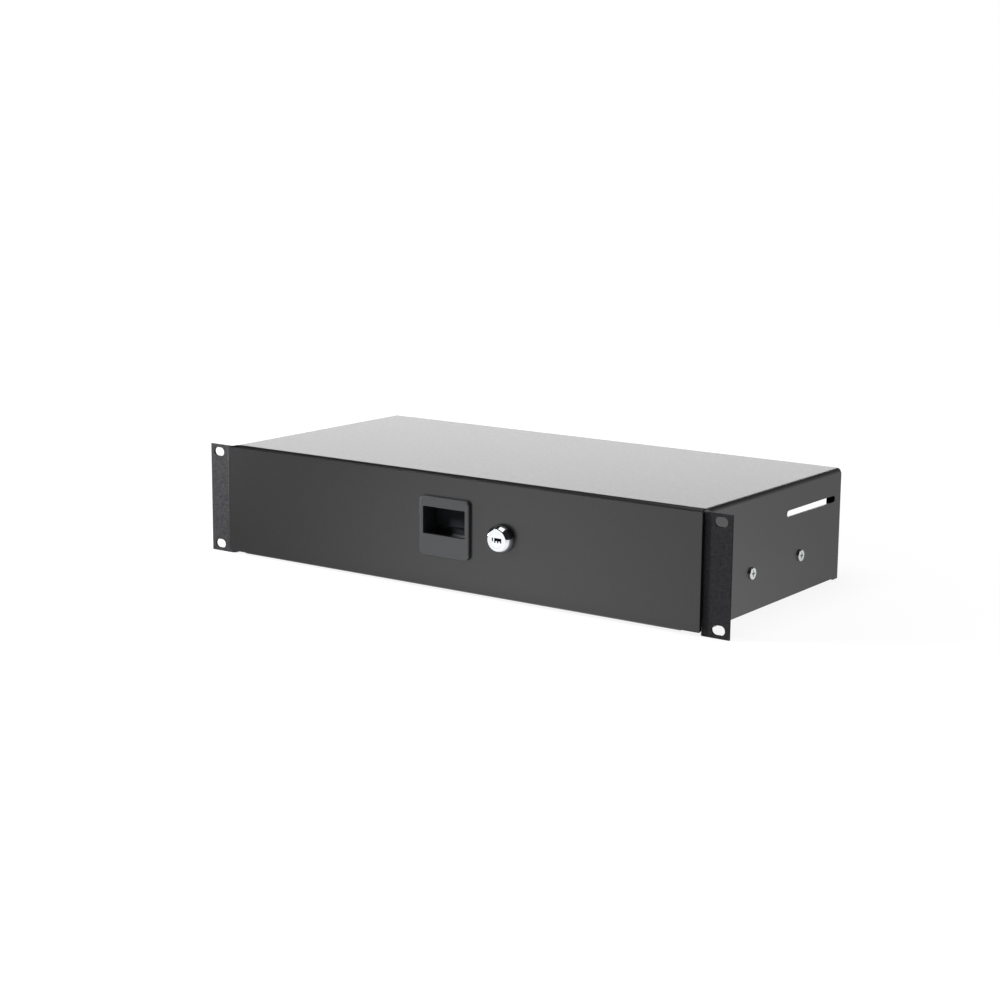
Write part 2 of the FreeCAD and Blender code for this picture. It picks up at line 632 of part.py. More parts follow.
def make_inner_cage():
    """Two thin strips, over and under the inner member, with a hole for each ball."""
    body = piece("right_inner_cage")
    body.AllowCompound = True
    section = sketch_on(body, "section", "XZ_Plane", "-(dims.slide_front + dims.cage_start)")
    half = "(%s / 2 + dims.cage_web)" % CAGE_HOLE
    for sign in "-+":
        low = slide_level(sign, INNER_BALLS) + " - dims.cage_sheet / 2"
        outline(section, box_corners(
            from_wall("(dims.inner_row + %s)" % half), from_wall("(dims.inner_row - %s)" % half),
            low, low + " + dims.cage_sheet"))
    pad(body, "strips", section, "dims.cage_length", against=True)
    return drill_cage(body, "dims.inner_row")


def drill_cage(body, row):
    """The ball holes of a cage, straight down through both of its rows."""
    holes = sketch_on(body, "ball_hole_outline", "XY_Plane", "dims.slide_up")
    for along in ball_places():
        ring(holes, from_wall(row), along, CAGE_HOLE)
    pocket(body, "ball_holes", holes, "2 * dims.slide_height", middle=True)
    return body


def make_ball():
    ball = doc.addObject("Part::Sphere", "ball_pattern")
    ball.setExpression("Radius", "dims.ball_diameter / 2")
    doc.recompute()
    return ball


def make_balls(label, ball, side, row, balls):
    """Both ball rows of one cage."""
    places = []
    for sign in "-+":
        for along in ball_places():
            across = side + from_wall(row)
            places.append(((across, along, slide_level(sign, balls)), UP, 0))
    return group(label, ball, places)


def cross_recess(body, front):
    """A cross-shaped driver recess cut down from a screw's front face."""
    cross = sketch_on(body, "recess_outline", "XY_Plane", front)
    wide, narrow = "dims.recess_span / 2", "dims.recess_width / 2"
    outline(cross, [
        (narrow, narrow), (narrow, wide), ("-" + narrow, wide), ("-" + narrow, narrow),
        ("-" + wide, narrow), ("-" + wide, "-" + narrow), ("-" + narrow, "-" + narrow),
        ("-" + narrow, "-" + wide), (narrow, "-" + wide), (narrow, "-" + narrow),
        (wide, "-" + narrow), (wide, narrow)])
    pocket(body, "cross_recess", cross, "dims.recess_depth")


def make_screw(body, head, rise, shank_length):
    """A low round-headed screw, head up, with its seat at the body's origin."""
    profile = sketch_on(body, "profile", "XZ_Plane")
    radius = "dims.screw_thread / 2"
    outline(profile, [
        ("0", "-(%s)" % shank_length), (radius, "-(%s)" % shank_length), (radius, "0"),
        ("%s / 2" % head, "0"), ("%s / 2" % head, rise), ("0", rise)])
    turned(body, "lathe", profile, "V_Axis")
    top = number(rise)
    eased(body, "Fillet", "domed_edge", lambda p: near(p.z, top), "%s * dims.head_dome" % rise)
    cross_recess(body, rise)
    return body


def make_slide_screws():
    """Screws of both slides: through the case from outside, through the tray from inside."""
    reach = "dims.case_sheet + dims.slide_sheet"
    truss = make_screw(piece("case_screw_pattern"), "dims.truss_head", "dims.truss_rise", reach)
    places = []
    for side, degrees in (("", 90), ("-", -90)):
        for along in slide_screw_places():
            places.append(((side + "dims.case_width / 2", along, "dims.slide_up"), BACK, degrees))
    outside = group("slide_case_screws", truss, places)

    reach = "dims.tray_sheet + dims.slide_sheet"
    low = make_screw(piece("tray_screw_pattern"), "dims.truss_head", "dims.truss_rise", reach)
    places = []
    for side, degrees in (("", -90), ("-", 90)):
        for along in slide_screw_places():
            across = side + "(%s - dims.tray_sheet)" % TRAY_HALF
            places.append(((across, along, "dims.slide_up"), BACK, degrees))
    inside = group("slide_tray_screws", low, places)
    return [outside, inside]


def make_tray():
    """The tray: an open box with rounded folds, notched at the front for latch and lock."""
    body = piece("tray")
    base = sketch_on(body, "base", "XY_Plane", "dims.tray_bottom")
    rear = "(%s + dims.tray_depth)" % PANEL_BACK
    outline(base, box_corners("-" + TRAY_HALF, TRAY_HALF, PANEL_BACK, rear))
    pad(body, "block", base, "dims.tray_height")
    bottom = number("dims.tray_bottom")
    eased(body, "Fillet", "folds", lambda p: near(p.z, bottom), "dims.tray_corner")
    inside = sketch_on(body, "inside_outline", "XY_Plane", "dims.tray_bottom + dims.tray_sheet")
    wall = "(%s - dims.tray_sheet)" % TRAY_HALF
    outline(inside, box_corners(
        "-" + wall, wall, "%s + dims.tray_sheet" % PANEL_BACK, rear + " - dims.tray_sheet"))
    pocket(body, "inside", inside, "dims.tray_height", against=False)
    floor = bottom + number("dims.tray_sheet")
    eased(body, "Fillet", "inner_folds", lambda p: near(p.z, floor), "dims.tray_corner - dims.tray_sheet")
    notch = sketch_on(body, "notch_outline", "XZ_Plane", "-(%s)" % PANEL_BACK)
    above = "dims.tray_bottom + dims.tray_height + dims.tray_notch_corner + dims.cut_start"
    outline(notch, box_corners("dims.tray_notch_left", "dims.tray_notch_right", "dims.tray_notch_bottom",
                               above, "dims.tray_notch_corner"))
    pocket(body, "notch", notch, through("dims.tray_corner"), middle=True)
    studs = sketch_on(body, "stud_hole_outline", "XZ_Plane", "-(%s)" % PANEL_BACK)
    for across in stud_places():
        ring(studs, across, "dims.stud_up", "dims.screw_thread + 2 * dims.hole_clearance")
    pocket(body, "stud_holes", studs, through("dims.tray_sheet"), middle=True)
    screws = sketch_on(body, "screw_hole_outline", "YZ_Plane")
    for along in slide_screw_places():
        ring(screws, along, "dims.slide_up", "dims.screw_thread + 2 * dims.hole_clearance")
    pocket(body, "screw_holes", screws, ACROSS_ALL, middle=True)
    return body


def stud_places():
    """The four panel studs, from the middle."""
    far = "(dims.case_width / 2 - dims.stud_inset)"
    return ["-" + far, "-dims.stud_near", "dims.stud_near", far]


def make_panel():
    """The front panel: latch cut-out, flatted lock hole, and its ends turned back."""
    body = piece("front_panel")
    face = sketch_on(body, "face", "XZ_Plane", "-(%s)" % PANEL_BACK)
    outline(face, box_corners("-" + PANEL_HALF, PANEL_HALF, "dims.panel_bottom", "dims.panel_top",
                              "dims.panel_corner"))
    outline(face, box_corners(
        "dims.latch_across - %s - dims.latch_fit" % LATCH_HALF,
        "dims.latch_across + %s + dims.latch_fit" % LATCH_HALF,
        "dims.latch_body_bottom - dims.latch_fit", "dims.latch_body_top + dims.latch_fit",
        "dims.panel_cutout_corner"))
    flatted_ring(face, "dims.lock_across", "dims.lock_up",
                 "dims.lock_barrel + 2 * dims.lock_fit", "dims.lock_flats + 2 * dims.lock_fit")
    pad(body, "plate", face, "dims.panel_sheet")
    front, edge = number(PANEL_FRONT), number(PANEL_HALF) - number("dims.panel_corner")
    low = number("dims.panel_bottom") + number("dims.panel_corner")
    high = number("dims.panel_top") - number("dims.panel_corner")

    def on_the_rim(p):
        return near(p.y, front) and (abs(p.x) > edge - TINY or not low + TINY < p.z < high - TINY)

    eased(body, "Fillet", "soft_edge", on_the_rim, "dims.panel_edge")
    ends = sketch_on(body, "end_section", "XY_Plane", PANEL_MIDDLE_UP)
    for side in ("", "-"):
        outline(ends, box_corners(
            side + "(%s - dims.panel_sheet)" % PANEL_HALF, side + PANEL_HALF,
            "%s - dims.panel_sheet / 2" % PANEL_BACK, "%s + dims.panel_return" % PANEL_BACK))
    straight = "dims.panel_top - dims.panel_bottom - 2 * dims.panel_corner"
    pad(body, "end_returns", ends, straight, middle=True)
    return body


def make_studs_and_nuts():
    """Studs pressed into the back of the panel, and the nuts that hold it to the tray."""
    stud = doc.addObject("Part::Cylinder", "stud_pattern")
    stud.setExpression("Radius", "dims.screw_thread / 2")
    stud.setExpression("Height", "dims.tray_sheet + dims.nut_height + dims.stud_end")
    doc.recompute()

    def pointing_back(depth):
        return [((across, depth, "dims.stud_up"), ACROSS, -90) for across in stud_places()]

    studs = group("panel_studs", stud, pointing_back(PANEL_BACK))
    nut = make_nut("nut_pattern", "dims.nut_flats", "dims.nut_height",
                   "dims.screw_thread + 2 * dims.thread_clearance")
    nuts = group("panel_nuts", nut, pointing_back("%s + dims.tray_sheet" % PANEL_BACK))
    return [studs, nuts]


def make_nut(label, flats, height, bore):
    """A hexagon nut lying on its seat, with both faces chamfered by turning."""
    body = piece(label)
    plan = sketch_on(body, "plan", "XY_Plane")
    ring(plan, "0", "0", "%s / cos(30 deg)" % flats)
    ring(plan, "0", "0", bore)
    pad(body, "blank", plan, height)
    radius = number("%s / 2 / cos(30 deg)" % flats)
    eased(body, "Chamfer", "turned_edges", lambda p: near(math.hypot(p.x, p.y), radius),
          "%s * dims.nut_chamfer" % flats)
    sides = sketch_on(body, "sides", "XY_Plane", "(%s) / 2" % height)
    ring(sides, "0", "0", "2 * " + flats)
    hexagon(sides, flats)
    pocket(body, "flats", sides, "2 * " + height, middle=True)
    return body


def make_latch_housing():
    """The moulded latch: bezel in front, body behind, finger recess right through to the flap."""
    body = piece("latch_housing")
    middle = "dims.latch_across"
    half = "dims.bezel_width / 2"
    plate = sketch_on(body, "bezel_outline", "XZ_Plane", "-(%s)" % PANEL_FRONT)
    outline(plate, box_corners("%s - %s" % (middle, half), "%s + %s" % (middle, half),
                               "dims.bezel_bottom", "dims.bezel_top", "dims.bezel_corner"))
    pad(body, "bezel", plate, "dims.bezel_rise")
    front = number(BEZEL_FRONT)
    eased(body, "Fillet", "soft_edge", lambda p: near(p.y, front), "dims.bezel_edge")
    left, right = "%s - %s" % (middle, LATCH_HALF), "%s + %s" % (middle, LATCH_HALF)
    block = sketch_on(body, "body_outline", "XZ_Plane", "-(%s)" % PANEL_FRONT)
    outline(block, box_corners(left, right, "dims.latch_body_bottom", "dims.latch_body_top"))
    pad(body, "body_block", block, "dims.latch_body_depth", against=True)
    # the mould leaves the part under the recess hollow from behind
    hollow = sketch_on(body, "hollow_outline", "XZ_Plane", "-(%s + dims.latch_wall)" % PANEL_FRONT)
    outline(hollow, box_corners(
        "%s + dims.latch_wall" % left, "%s - dims.latch_wall" % right,
        "dims.latch_body_bottom + dims.latch_wall", "dims.recess_floor - dims.latch_wall"))
    pocket(body, "lower_hollow", hollow, "dims.latch_body_depth")
    # the opening through the bezel, and the taller room behind it, which is swept up at the rear
    opening = sketch_on(body, "opening_outline", "XZ_Plane", "-(%s)" % PANEL_FRONT)
    half = "dims.recess_opening_width / 2"
    sides = ("%s - %s" % (middle, half), "%s + %s" % (middle, half))
    outline(opening, box_corners(*sides, "dims.recess_opening_bottom", "dims.recess_opening_top",
                                 "dims.recess_corner"))
    pocket(body, "bezel_opening", opening, "dims.bezel_rise + dims.cut_start", against=False)
    room = sketch_on(body, "room_section", "YZ_Plane", middle)
    roof = "dims.latch_body_top - dims.latch_wall"
    outline(room, [
        (PANEL_FRONT, "dims.recess_floor"), (LATCH_INSIDE_REAR, "dims.recess_floor", "dims.recess_sweep"),
        (LATCH_INSIDE_REAR, roof), (PANEL_FRONT, roof)])
    pocket(body, "finger_room", room, "dims.recess_opening_width", middle=True)
    # a slot through top and rear walls for the arm
    arm = "(dims.bolt_width / 2 + dims.arm_slot_clearance)"
    gate = sketch_on(body, "arm_slot_outline", "XZ_Plane", "-(dims.pivot_back - dims.hub_diameter / 2)")
    outline(gate, box_corners("%s - %s" % (middle, arm), "%s + %s" % (middle, arm),
                              "dims.pivot_up - dims.arm_thickness", "dims.latch_body_top + dims.cut_start"))
    pocket(body, "arm_slot", gate, "dims.latch_body_depth")
    bores = sketch_on(body, "pin_bore_outline", "YZ_Plane")
    ring(bores, "dims.pivot_back", "dims.pivot_up", "dims.pin_diameter + 2 * dims.thread_clearance")
    pocket(body, "pin_bores", bores, ACROSS_ALL, middle=True)
    return body


def make_latch_lever():
    """The lever: finger flap, hub on the pin, and the arm with its bevelled bolt."""
    body = piece("latch_lever")
    half = "(dims.recess_opening_width / 2 - dims.lever_clearance)"
    back = "dims.flap_front + dims.flap_sheet"
    low, middle = "dims.arm_up", "dims.latch_across"
    flap = sketch_on(body, "flap_section", "YZ_Plane", middle)
    top, under = "dims.pivot_up + dims.hub_diameter / 2", "dims.pivot_up - dims.hub_diameter / 2"
    outline(flap, [
        ("dims.flap_front", "dims.flap_bottom"), (back, "dims.flap_bottom"), (back, top, "dims.flap_shoulder"),
        ("dims.pivot_back", top), ("dims.pivot_back", under), ("dims.flap_front - dims.flap_gusset", under),
        ("dims.flap_front", "%s - dims.flap_gusset" % under)])
    pad(body, "flap", flap, "2 * " + half, middle=True)
    front, bottom = number("dims.flap_front"), number("dims.flap_bottom")
    eased(body, "Fillet", "flap_lower_edge", lambda p: near(p.y, front) and near(p.z, bottom), "dims.flap_edge")
    hub = sketch_on(body, "hub_section", "YZ_Plane", middle)
    ring(hub, "dims.pivot_back", "dims.pivot_up", "dims.hub_diameter")
    pad(body, "hub", hub, "2 * " + half, middle=True)
    rear = "dims.bolt_front + dims.bolt_length"
    arm = sketch_on(body, "arm_section", "YZ_Plane", middle)
    outline(arm, [
        ("dims.pivot_back", low), (rear, low), (rear, "dims.bolt_top - dims.bolt_bevel"),
        ("dims.bolt_front + dims.bolt_nose", "dims.bolt_top"), ("dims.bolt_front", "dims.bolt_top"),
        ("dims.bolt_front", low + " + dims.arm_thickness"),
        ("dims.pivot_back", low + " + dims.arm_thickness - dims.arm_taper")])
    pad(body, "bolt_arm", arm, "dims.bolt_width", middle=True)
    bore = sketch_on(body, "bore_outline", "YZ_Plane", middle)
    ring(bore, "dims.pivot_back", "dims.pivot_up", "dims.pin_diameter + 2 * dims.pin_clearance")
    pocket(body, "bore", bore, ACROSS_ALL, middle=True)
    seat = sketch_on(body, "spring_seat_outline", "YZ_Plane", "%s + dims.spring_start" % middle)
    outline(seat, box_corners("dims.pivot_back - dims.hub_diameter", "dims.pivot_back + dims.hub_diameter",
                              "dims.pivot_up - dims.hub_diameter", "dims.pivot_up + dims.hub_diameter"))
    pocket(body, "spring_seat", seat, half, against=False)
    return body


def make_latch_pin():
    pin = doc.addObject("Part::Cylinder", "latch_pin")
    pin.Label = "latch_pin"
    pin.setExpression("Radius", "dims.pin_diameter / 2")
    pin.setExpression("Height", "2 * %s" % LATCH_HALF)
    pin.Placement = FreeCAD.Placement(FreeCAD.Vector(), FreeCAD.Rotation(BACK, 90))
    for side, text in zip("xyz", ("dims.latch_across - " + LATCH_HALF, "dims.pivot_back", "dims.pivot_up")):
        pin.setExpression("Placement.Base." + side, text)
    doc.recompute()
    return pin


def make_latch_spring():
    """A torsion spring on the pin, coiled beside the hub, both of its legs to the front."""
    coil = doc.addObject("Part::Helix", "spring_coil")
    pitch = "(dims.spring_wire + dims.spring_gap)"
    coil.setExpression("Pitch", pitch)
    coil.setExpression("Height", "%s * dims.spring_turns" % pitch)
    coil.setExpression("Radius", "dims.spring_radius")
    wire = doc.addObject("Part::Circle", "spring_wire_section")
    wire.setExpression("Radius", "dims.spring_wire / 2")
    wire.Placement = FreeCAD.Placement(FreeCAD.Vector(), FreeCAD.Rotation(ACROSS, 90))
    wire.setExpression("Placement.Base.x", "dims.spring_radius")
    turns = doc.addObject("Part::Sweep", "spring_turns")
    turns.Sections = [wire]
    turns.Spine = (coil, ["Edge1"])
    turns.Solid = True
    turns.Frenet = True
    legs = [spring_leg("low_leg", "dims.spring_radius", "0"),
            spring_leg("high_leg", "-dims.spring_radius", "%s * dims.spring_turns" % pitch)]
    spring = doc.addObject("Part::MultiFuse", "latch_spring")
    spring.Label = "latch_spring"
    spring.Shapes = [turns] + legs
    spring.Placement = FreeCAD.Placement(FreeCAD.Vector(), FreeCAD.Rotation(BACK, 90))
    start = "dims.latch_across + dims.spring_start + dims.spring_wire"
    for side, text in zip("xyz", (start, "dims.pivot_back", "dims.pivot_up")):
        spring.setExpression("Placement.Base." + side, text)
    doc.recompute()
    return spring


def spring_leg(label, out, along):
    """A straight end of the spring's wire, tangent to the coil at one of its ends."""
    leg = doc.addObject("Part::Cylinder", label)
    leg.setExpression("Radius", "dims.spring_wire / 2")
    leg.setExpression("Height", "dims.spring_leg")
    leg.Placement = FreeCAD.Placement(FreeCAD.Vector(), FreeCAD.Rotation(ACROSS, 90))
    leg.setExpression("Placement.Base.x", out)
    leg.setExpression("Placement.Base.z", along)
    return leg


def make_keeper():
    """The keeper under the case top: an angle that the bolt and the cam stand behind."""
    body = piece("latch_keeper")
    sheet, under, face = "dims.case_sheet", "dims.case_top - dims.case_sheet", "dims.keeper_front"
    section = sketch_on(body, "section", "YZ_Plane", "dims.keeper_left")
    outline(section, [
        (face, "dims.keeper_bottom"), ("%s + %s" % (face, sheet), "dims.keeper_bottom"),
        ("%s + %s" % (face, sheet), "%s - %s" % (under, sheet), "dims.keeper_bend"),
        ("%s + dims.keeper_foot" % face, "%s - %s" % (under, sheet)),
        ("%s + dims.keeper_foot" % face, under), (face, under, "(dims.keeper_bend + %s)" % sheet)])
    pad(body, "angle", section, "dims.keeper_right - dims.keeper_left")
    return body


def make_lock_housing():
    """The lock body: a turned collar in front, a flatted threaded barrel behind."""
    body = piece("lock_housing", ("dims.lock_across", "0", "dims.lock_up"))
    profile = sketch_on(body, "profile", "XY_Plane")
    outline(profile, [
        ("dims.plug_diameter / 2 + dims.plug_clearance", LOCK_FRONT), ("dims.lock_face / 2", LOCK_FRONT),
        ("dims.lock_shoulder / 2", "%s + dims.lock_edge" % LOCK_FRONT),
        ("dims.lock_base / 2", "%s - dims.lock_collar" % PANEL_FRONT), ("dims.lock_base / 2", PANEL_FRONT),
        ("dims.lock_barrel / 2", PANEL_FRONT), ("dims.lock_barrel / 2", "dims.lock_rear"),
        ("dims.plug_diameter / 2 + dims.plug_clearance", "dims.lock_rear")])
    turned(body, "lathe", profile, "V_Axis")
    for sign in ("", "-"):
        flats = sketch_on(body, "flat_outline" + ("_low" if sign else ""), "XZ_Plane", "-(%s)" % PANEL_FRONT)
        rise = sign + "dims.lock_flats / 2"
        outline(flats, box_corners("-dims.lock_barrel", "dims.lock_barrel", rise, sign + "dims.lock_barrel"))
        pocket(body, "flat" + ("_low" if sign else ""), flats, "2 * dims.lock_barrel")
    return body


def make_lock_plug():
    """The turning plug: keyway in front, square tang for the cam behind."""
    body = piece("lock_plug", ("dims.lock_across", "0", "dims.lock_up"))
    end = sketch_on(body, "end", "XZ_Plane", "-dims.lock_rear")
    ring(end, "0", "0", "dims.plug_diameter")
    pad(body, "cylinder", end, "dims.lock_rear - (%s)" % LOCK_FRONT)
    tang = sketch_on(body, "tang_outline", "XZ_Plane", "-dims.lock_rear")
    half = "dims.tang_width / 2"
    outline(tang, box_corners("-" + half, half, "-" + half, half))
    pad(body, "tang", tang, "dims.cam_sheet", against=True)
    # the keyway is a level slot with three legs; a short guide slot stands to its left
    key = sketch_on(body, "keyway_outline", "XZ_Plane", "-(%s)" % LOCK_FRONT)
    left, right, top = "dims.key_left", "dims.key_right", "dims.key_top"
    shelf = "(dims.key_top - dims.key_height)"
    low = "(%s - dims.key_leg_drop)" % shelf
    middle, leg = "((dims.key_left + dims.key_right) / 2)", "dims.key_leg_width"
    outline(key, [
        (left, top), (left, low), ("%s + %s" % (left, leg), low), ("%s + %s" % (left, leg), shelf),
        ("%s - %s / 2" % (middle, leg), shelf), ("%s - %s / 2" % (middle, leg), low),
        ("%s + %s / 2" % (middle, leg), low), ("%s + %s / 2" % (middle, leg), shelf),
        ("%s - %s" % (right, leg), shelf), ("%s - %s" % (right, leg), low), (right, low), (right, top)])
    outline(key, box_corners("dims.key_guide_left", "dims.key_guide_left + dims.key_guide_width",
                             "%s - dims.key_guide_height" % top, top))
    pocket(body, "keyway", key, "dims.key_depth")
    screw = sketch_on(body, "screw_hole_outline", "XZ_Plane", "-(dims.lock_rear + dims.cam_sheet)")
    ring(screw, "0", "0", "dims.screw_thread + 2 * dims.thread_clearance")
    pocket(body, "screw_hole", screw, "dims.cam_screw_hole", against=False)
    return body


def make_cam():
    """The cam, tapering to its tip, lying level in the unlocked position."""
    body = piece("lock_cam", ("dims.lock_across", "0", "dims.lock_up"))
    plan = sketch_on(body, "plan", "XZ_Plane", "-dims.lock_rear")
    wide, tip = "dims.cam_width / 2", "dims.cam_tip / 2"
    outline(plan, [
        ("-" + wide, "-" + wide), (wide, "-" + wide), ("dims.cam_reach", "-" + tip),
        ("dims.cam_reach", tip), (wide, wide), ("-" + wide, wide)])
    half = "(dims.tang_width / 2 + dims.tang_clearance)"
    outline(plan, box_corners("-" + half, half, "-" + half, half))
    pad(body, "plate", plan, "dims.cam_sheet", against=True)
    outer_corners = [(-number(wide), number(wide)), (number("dims.cam_reach"), number(tip))]

    def on_an_outer_corner(p):
        return any(near(p.x, x) and near(abs(p.z), z) for x, z in outer_corners)

    eased(body, "Fillet", "round_ends", on_an_outer_corner, "dims.cam_rounding")
    return body


def make_cam_screw():
    """The screw that holds the cam on its tang."""
    body = piece("cam_screw", ("dims.lock_across", "dims.lock_rear + dims.cam_sheet", "dims.lock_up"))
    body.Placement.Rotation = FreeCAD.Rotation(ACROSS, -90)
    return make_screw(body, "dims.cam_head", "dims.cam_head_rise", "dims.cam_screw_length")


def make_lock_fixings():
    """Washer and nut that clamp the lock to the panel."""
    washer = piece("lock_washer", ("dims.lock_across", PANEL_BACK, "dims.lock_up"))
    plan = sketch_on(washer, "plan", "XZ_Plane")
    ring(plan, "0", "0", "dims.lock_washer_diameter")
    flatted_ring(plan, "0", "0", "dims.lock_barrel + 2 * dims.lock_fit", "dims.lock_flats + 2 * dims.lock_fit")
    pad(washer, "plate", plan, "dims.lock_washer_sheet", against=True)
    nut = make_nut("lock_nut", "dims.lock_nut_flats", "dims.lock_nut_height",
                   "dims.lock_barrel + 2 * dims.thread_clearance")
    nut.Placement.Rotation = FreeCAD.Rotation(ACROSS, -90)
    seat = "%s + dims.lock_washer_sheet" % PANEL_BACK
    for side, text in zip("xyz", ("dims.lock_across", seat, "dims.lock_up")):
        nut.setExpression("Placement.Base." + side, text)
    doc.recompute()
    return [washer, nut]


pieces = [make_case(), make_keeper(), make_tray(), make_panel()]
pieces += make_studs_and_nuts()
members = make_slide_members() + [make_outer_cage(), make_inner_cage()]
pieces += members
for member in members:
    pieces.append(mirrored(member.Label.replace("right", "left"), member))
ball = make_ball()
for name, side in (("right", ""), ("left", "-")):
    pieces.append(make_balls(name + "_outer_balls", ball, side, "dims.outer_row", OUTER_BALLS))
    pieces.append(make_balls(name + "_inner_balls", ball, side, "dims.inner_row", INNER_BALLS))
pieces += make_slide_screws()
pieces += [make_latch_housing(), make_latch_lever(), make_latch_pin(), make_latch_spring()]
pieces += [make_lock_housing(), make_lock_plug(), make_cam(), make_cam_screw()]
pieces += make_lock_fixings()
doc.recompute()

for thing in doc.Objects:
    if "Invalid" in thing.State or "Error" in thing.State:
        raise RuntimeError("%s failed: %s" % (thing.Label, thing.State))
os.makedirs("parts", exist_ok=True)
for item in pieces:
    shape = item.Shape
    if shape.isNull() or not shape.isValid() or not shape.Solids:
        raise RuntimeError("%s has no valid solid" % item.Label)
    shape.exportStep("parts/%s.step" % item.Label)
    box = shape.BoundBox
    print("%-20s %2d solids %10.1f mm3  X %.1f..%.1f Y %.1f..%.1f Z %.1f..%.1f" % (
        item.Label, len(shape.Solids), shape.Volume,
        box.XMin, box.XMax, box.YMin, box.YMax, box.ZMin, box.ZMax))
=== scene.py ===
import json
import math

import bmesh
import bpy
from bpy.props import FloatProperty, FloatVectorProperty, IntProperty, PointerProperty
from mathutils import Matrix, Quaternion, Vector


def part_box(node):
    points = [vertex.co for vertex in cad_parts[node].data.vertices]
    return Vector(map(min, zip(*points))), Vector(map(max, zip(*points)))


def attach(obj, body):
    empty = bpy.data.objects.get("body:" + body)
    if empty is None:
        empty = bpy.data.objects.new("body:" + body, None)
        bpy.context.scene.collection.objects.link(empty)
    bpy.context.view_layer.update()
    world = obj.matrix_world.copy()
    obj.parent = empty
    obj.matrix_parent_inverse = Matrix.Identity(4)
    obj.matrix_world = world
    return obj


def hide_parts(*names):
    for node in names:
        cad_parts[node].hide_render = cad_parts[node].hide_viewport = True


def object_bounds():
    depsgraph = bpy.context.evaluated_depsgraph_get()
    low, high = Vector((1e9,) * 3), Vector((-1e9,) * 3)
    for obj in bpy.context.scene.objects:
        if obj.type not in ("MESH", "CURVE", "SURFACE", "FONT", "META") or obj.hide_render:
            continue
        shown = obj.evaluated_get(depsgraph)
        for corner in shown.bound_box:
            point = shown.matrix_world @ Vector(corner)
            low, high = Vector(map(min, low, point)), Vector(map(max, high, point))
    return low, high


bl_info = {
    "name": "Rack drawer",
    "version": (1, 0, 0),
    "blender": (4, 5, 0),
    "location": "3D View > Sidebar > Rack drawer",
    "description": "Details and finishes of a lockable sliding drawer for a 19 inch rack",
    "category": "Add Mesh",
}

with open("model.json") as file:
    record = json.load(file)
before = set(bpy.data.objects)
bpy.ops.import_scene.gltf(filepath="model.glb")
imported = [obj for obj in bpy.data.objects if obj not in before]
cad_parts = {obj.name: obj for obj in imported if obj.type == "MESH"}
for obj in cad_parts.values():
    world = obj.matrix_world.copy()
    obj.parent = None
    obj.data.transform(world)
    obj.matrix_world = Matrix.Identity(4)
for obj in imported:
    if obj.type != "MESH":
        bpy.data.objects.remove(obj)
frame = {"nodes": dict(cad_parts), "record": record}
CAD_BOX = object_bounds()
NODES = frame["nodes"]
BODIES = frame["record"]["behaviour"]["bodies"]
BODY_OF = {node: body for body, nodes in BODIES.items() for node in nodes}
SLOT_OF = {row["node"]: row["material_slot"] for row in frame["record"]["subparts"]}

MM = 0.001
# How near two places are taken as the same, and how near two corners are merged.
TOUCH = 0.02 * MM
WELD = 0.0005 * MM
# Edges sharper than the first angle are rounded, and shading breaks at those past the second.
SHARP_EDGE = math.radians(28)
SHARP_SHADING = math.radians(50)
# Neighbouring triangles that turn by less than this are joined into one face.
FLAT = math.radians(0.5)
# A face is taken as square to an axis when its normal's part along it is over this.
FACING = 0.9
# The lock's thread: rows of corners in one turn, and its depth as a part of its pitch.
ROWS_PER_TURN = 6
THREAD_DEPTH = 0.55
# The ears start this far from the middle, and their near-black coat, the coat of their cut edges
# and painted shade on their bends beside the front panel, ends this far behind the rack plane.
EAR_START = 219.3 * MM
EAR_BACK = 1.9 * MM

# Sockets of the Mix node when it mixes colours, and when it mixes numbers.
COLOUR_A, COLOUR_B, COLOUR_OUT = 6, 7, 2
NUMBER_A, NUMBER_B, NUMBER_OUT = 2, 3, 0
WHITE = (1, 1, 1, 1)


# ---------------------------------------------------------------- helpers

def linear(code):
    """An sRGB hex colour as linear red, green, blue and alpha."""
    parts = [int(code[i:i + 2], 16) / 255 for i in (1, 3, 5)]
    return [c / 12.92 if c <= 0.04045 else ((c + 0.055) / 1.055) ** 2.4 for c in parts] + [1.0]


def add(tree, kind, inputs=(), links=(), **settings):
    """One shader node with its settings, its input values and the outputs that feed it."""
    made = tree.nodes.new(kind)
    for name, value in settings.items():
        setattr(made, name, value)
    for socket, value in dict(inputs).items():
        made.inputs[socket].default_value = value
    for socket, (source, output) in dict(links).items():
        tree.links.new(source.outputs[output], made.inputs[socket])
    return made


def start_material(name):
    """An empty material, its node tree and the object's own coordinates."""
    material = bpy.data.materials.new(name)
    material.use_nodes = True
    tree = material.node_tree
    tree.nodes.clear()
    return material, tree, add(tree, "ShaderNodeTexCoord")


def close_material(material, tree, shader):
    """Joins the shader to the output and hands the material over."""
    add(tree, "ShaderNodeOutputMaterial", links={"Surface": (shader, "BSDF")})
    return material


def finish_node(name, material):
    """Gives a carried-over piece of the frame its finish."""
    NODES[name].data.materials.clear()
    NODES[name].data.materials.append(material)


def merged_copy(node):
    """A copy of a piece of the frame with its loose triangles joined into whole faces."""
    shape = bmesh.new()
    shape.from_mesh(NODES[node].data)
    bmesh.ops.remove_doubles(shape, verts=shape.verts, dist=WELD)
    bmesh.ops.dissolve_limit(shape, angle_limit=FLAT, use_dissolve_boundaries=False,
                             verts=shape.verts, edges=shape.edges, delimit=set())
    return shape


def round_edges(shape, width, skip=None):
    """Rounds every hard edge of a closed shape that skip doesn't leave out."""
    sharp = [e for e in shape.edges if e.is_manifold and e.calc_face_angle() > SHARP_EDGE
             and not (skip and skip(e))]
    bmesh.ops.bevel(shape, geom=sharp, offset=width, offset_type="OFFSET", affect="EDGES",
                    segments=2, profile=0.5, clamp_overlap=True, material=-1)


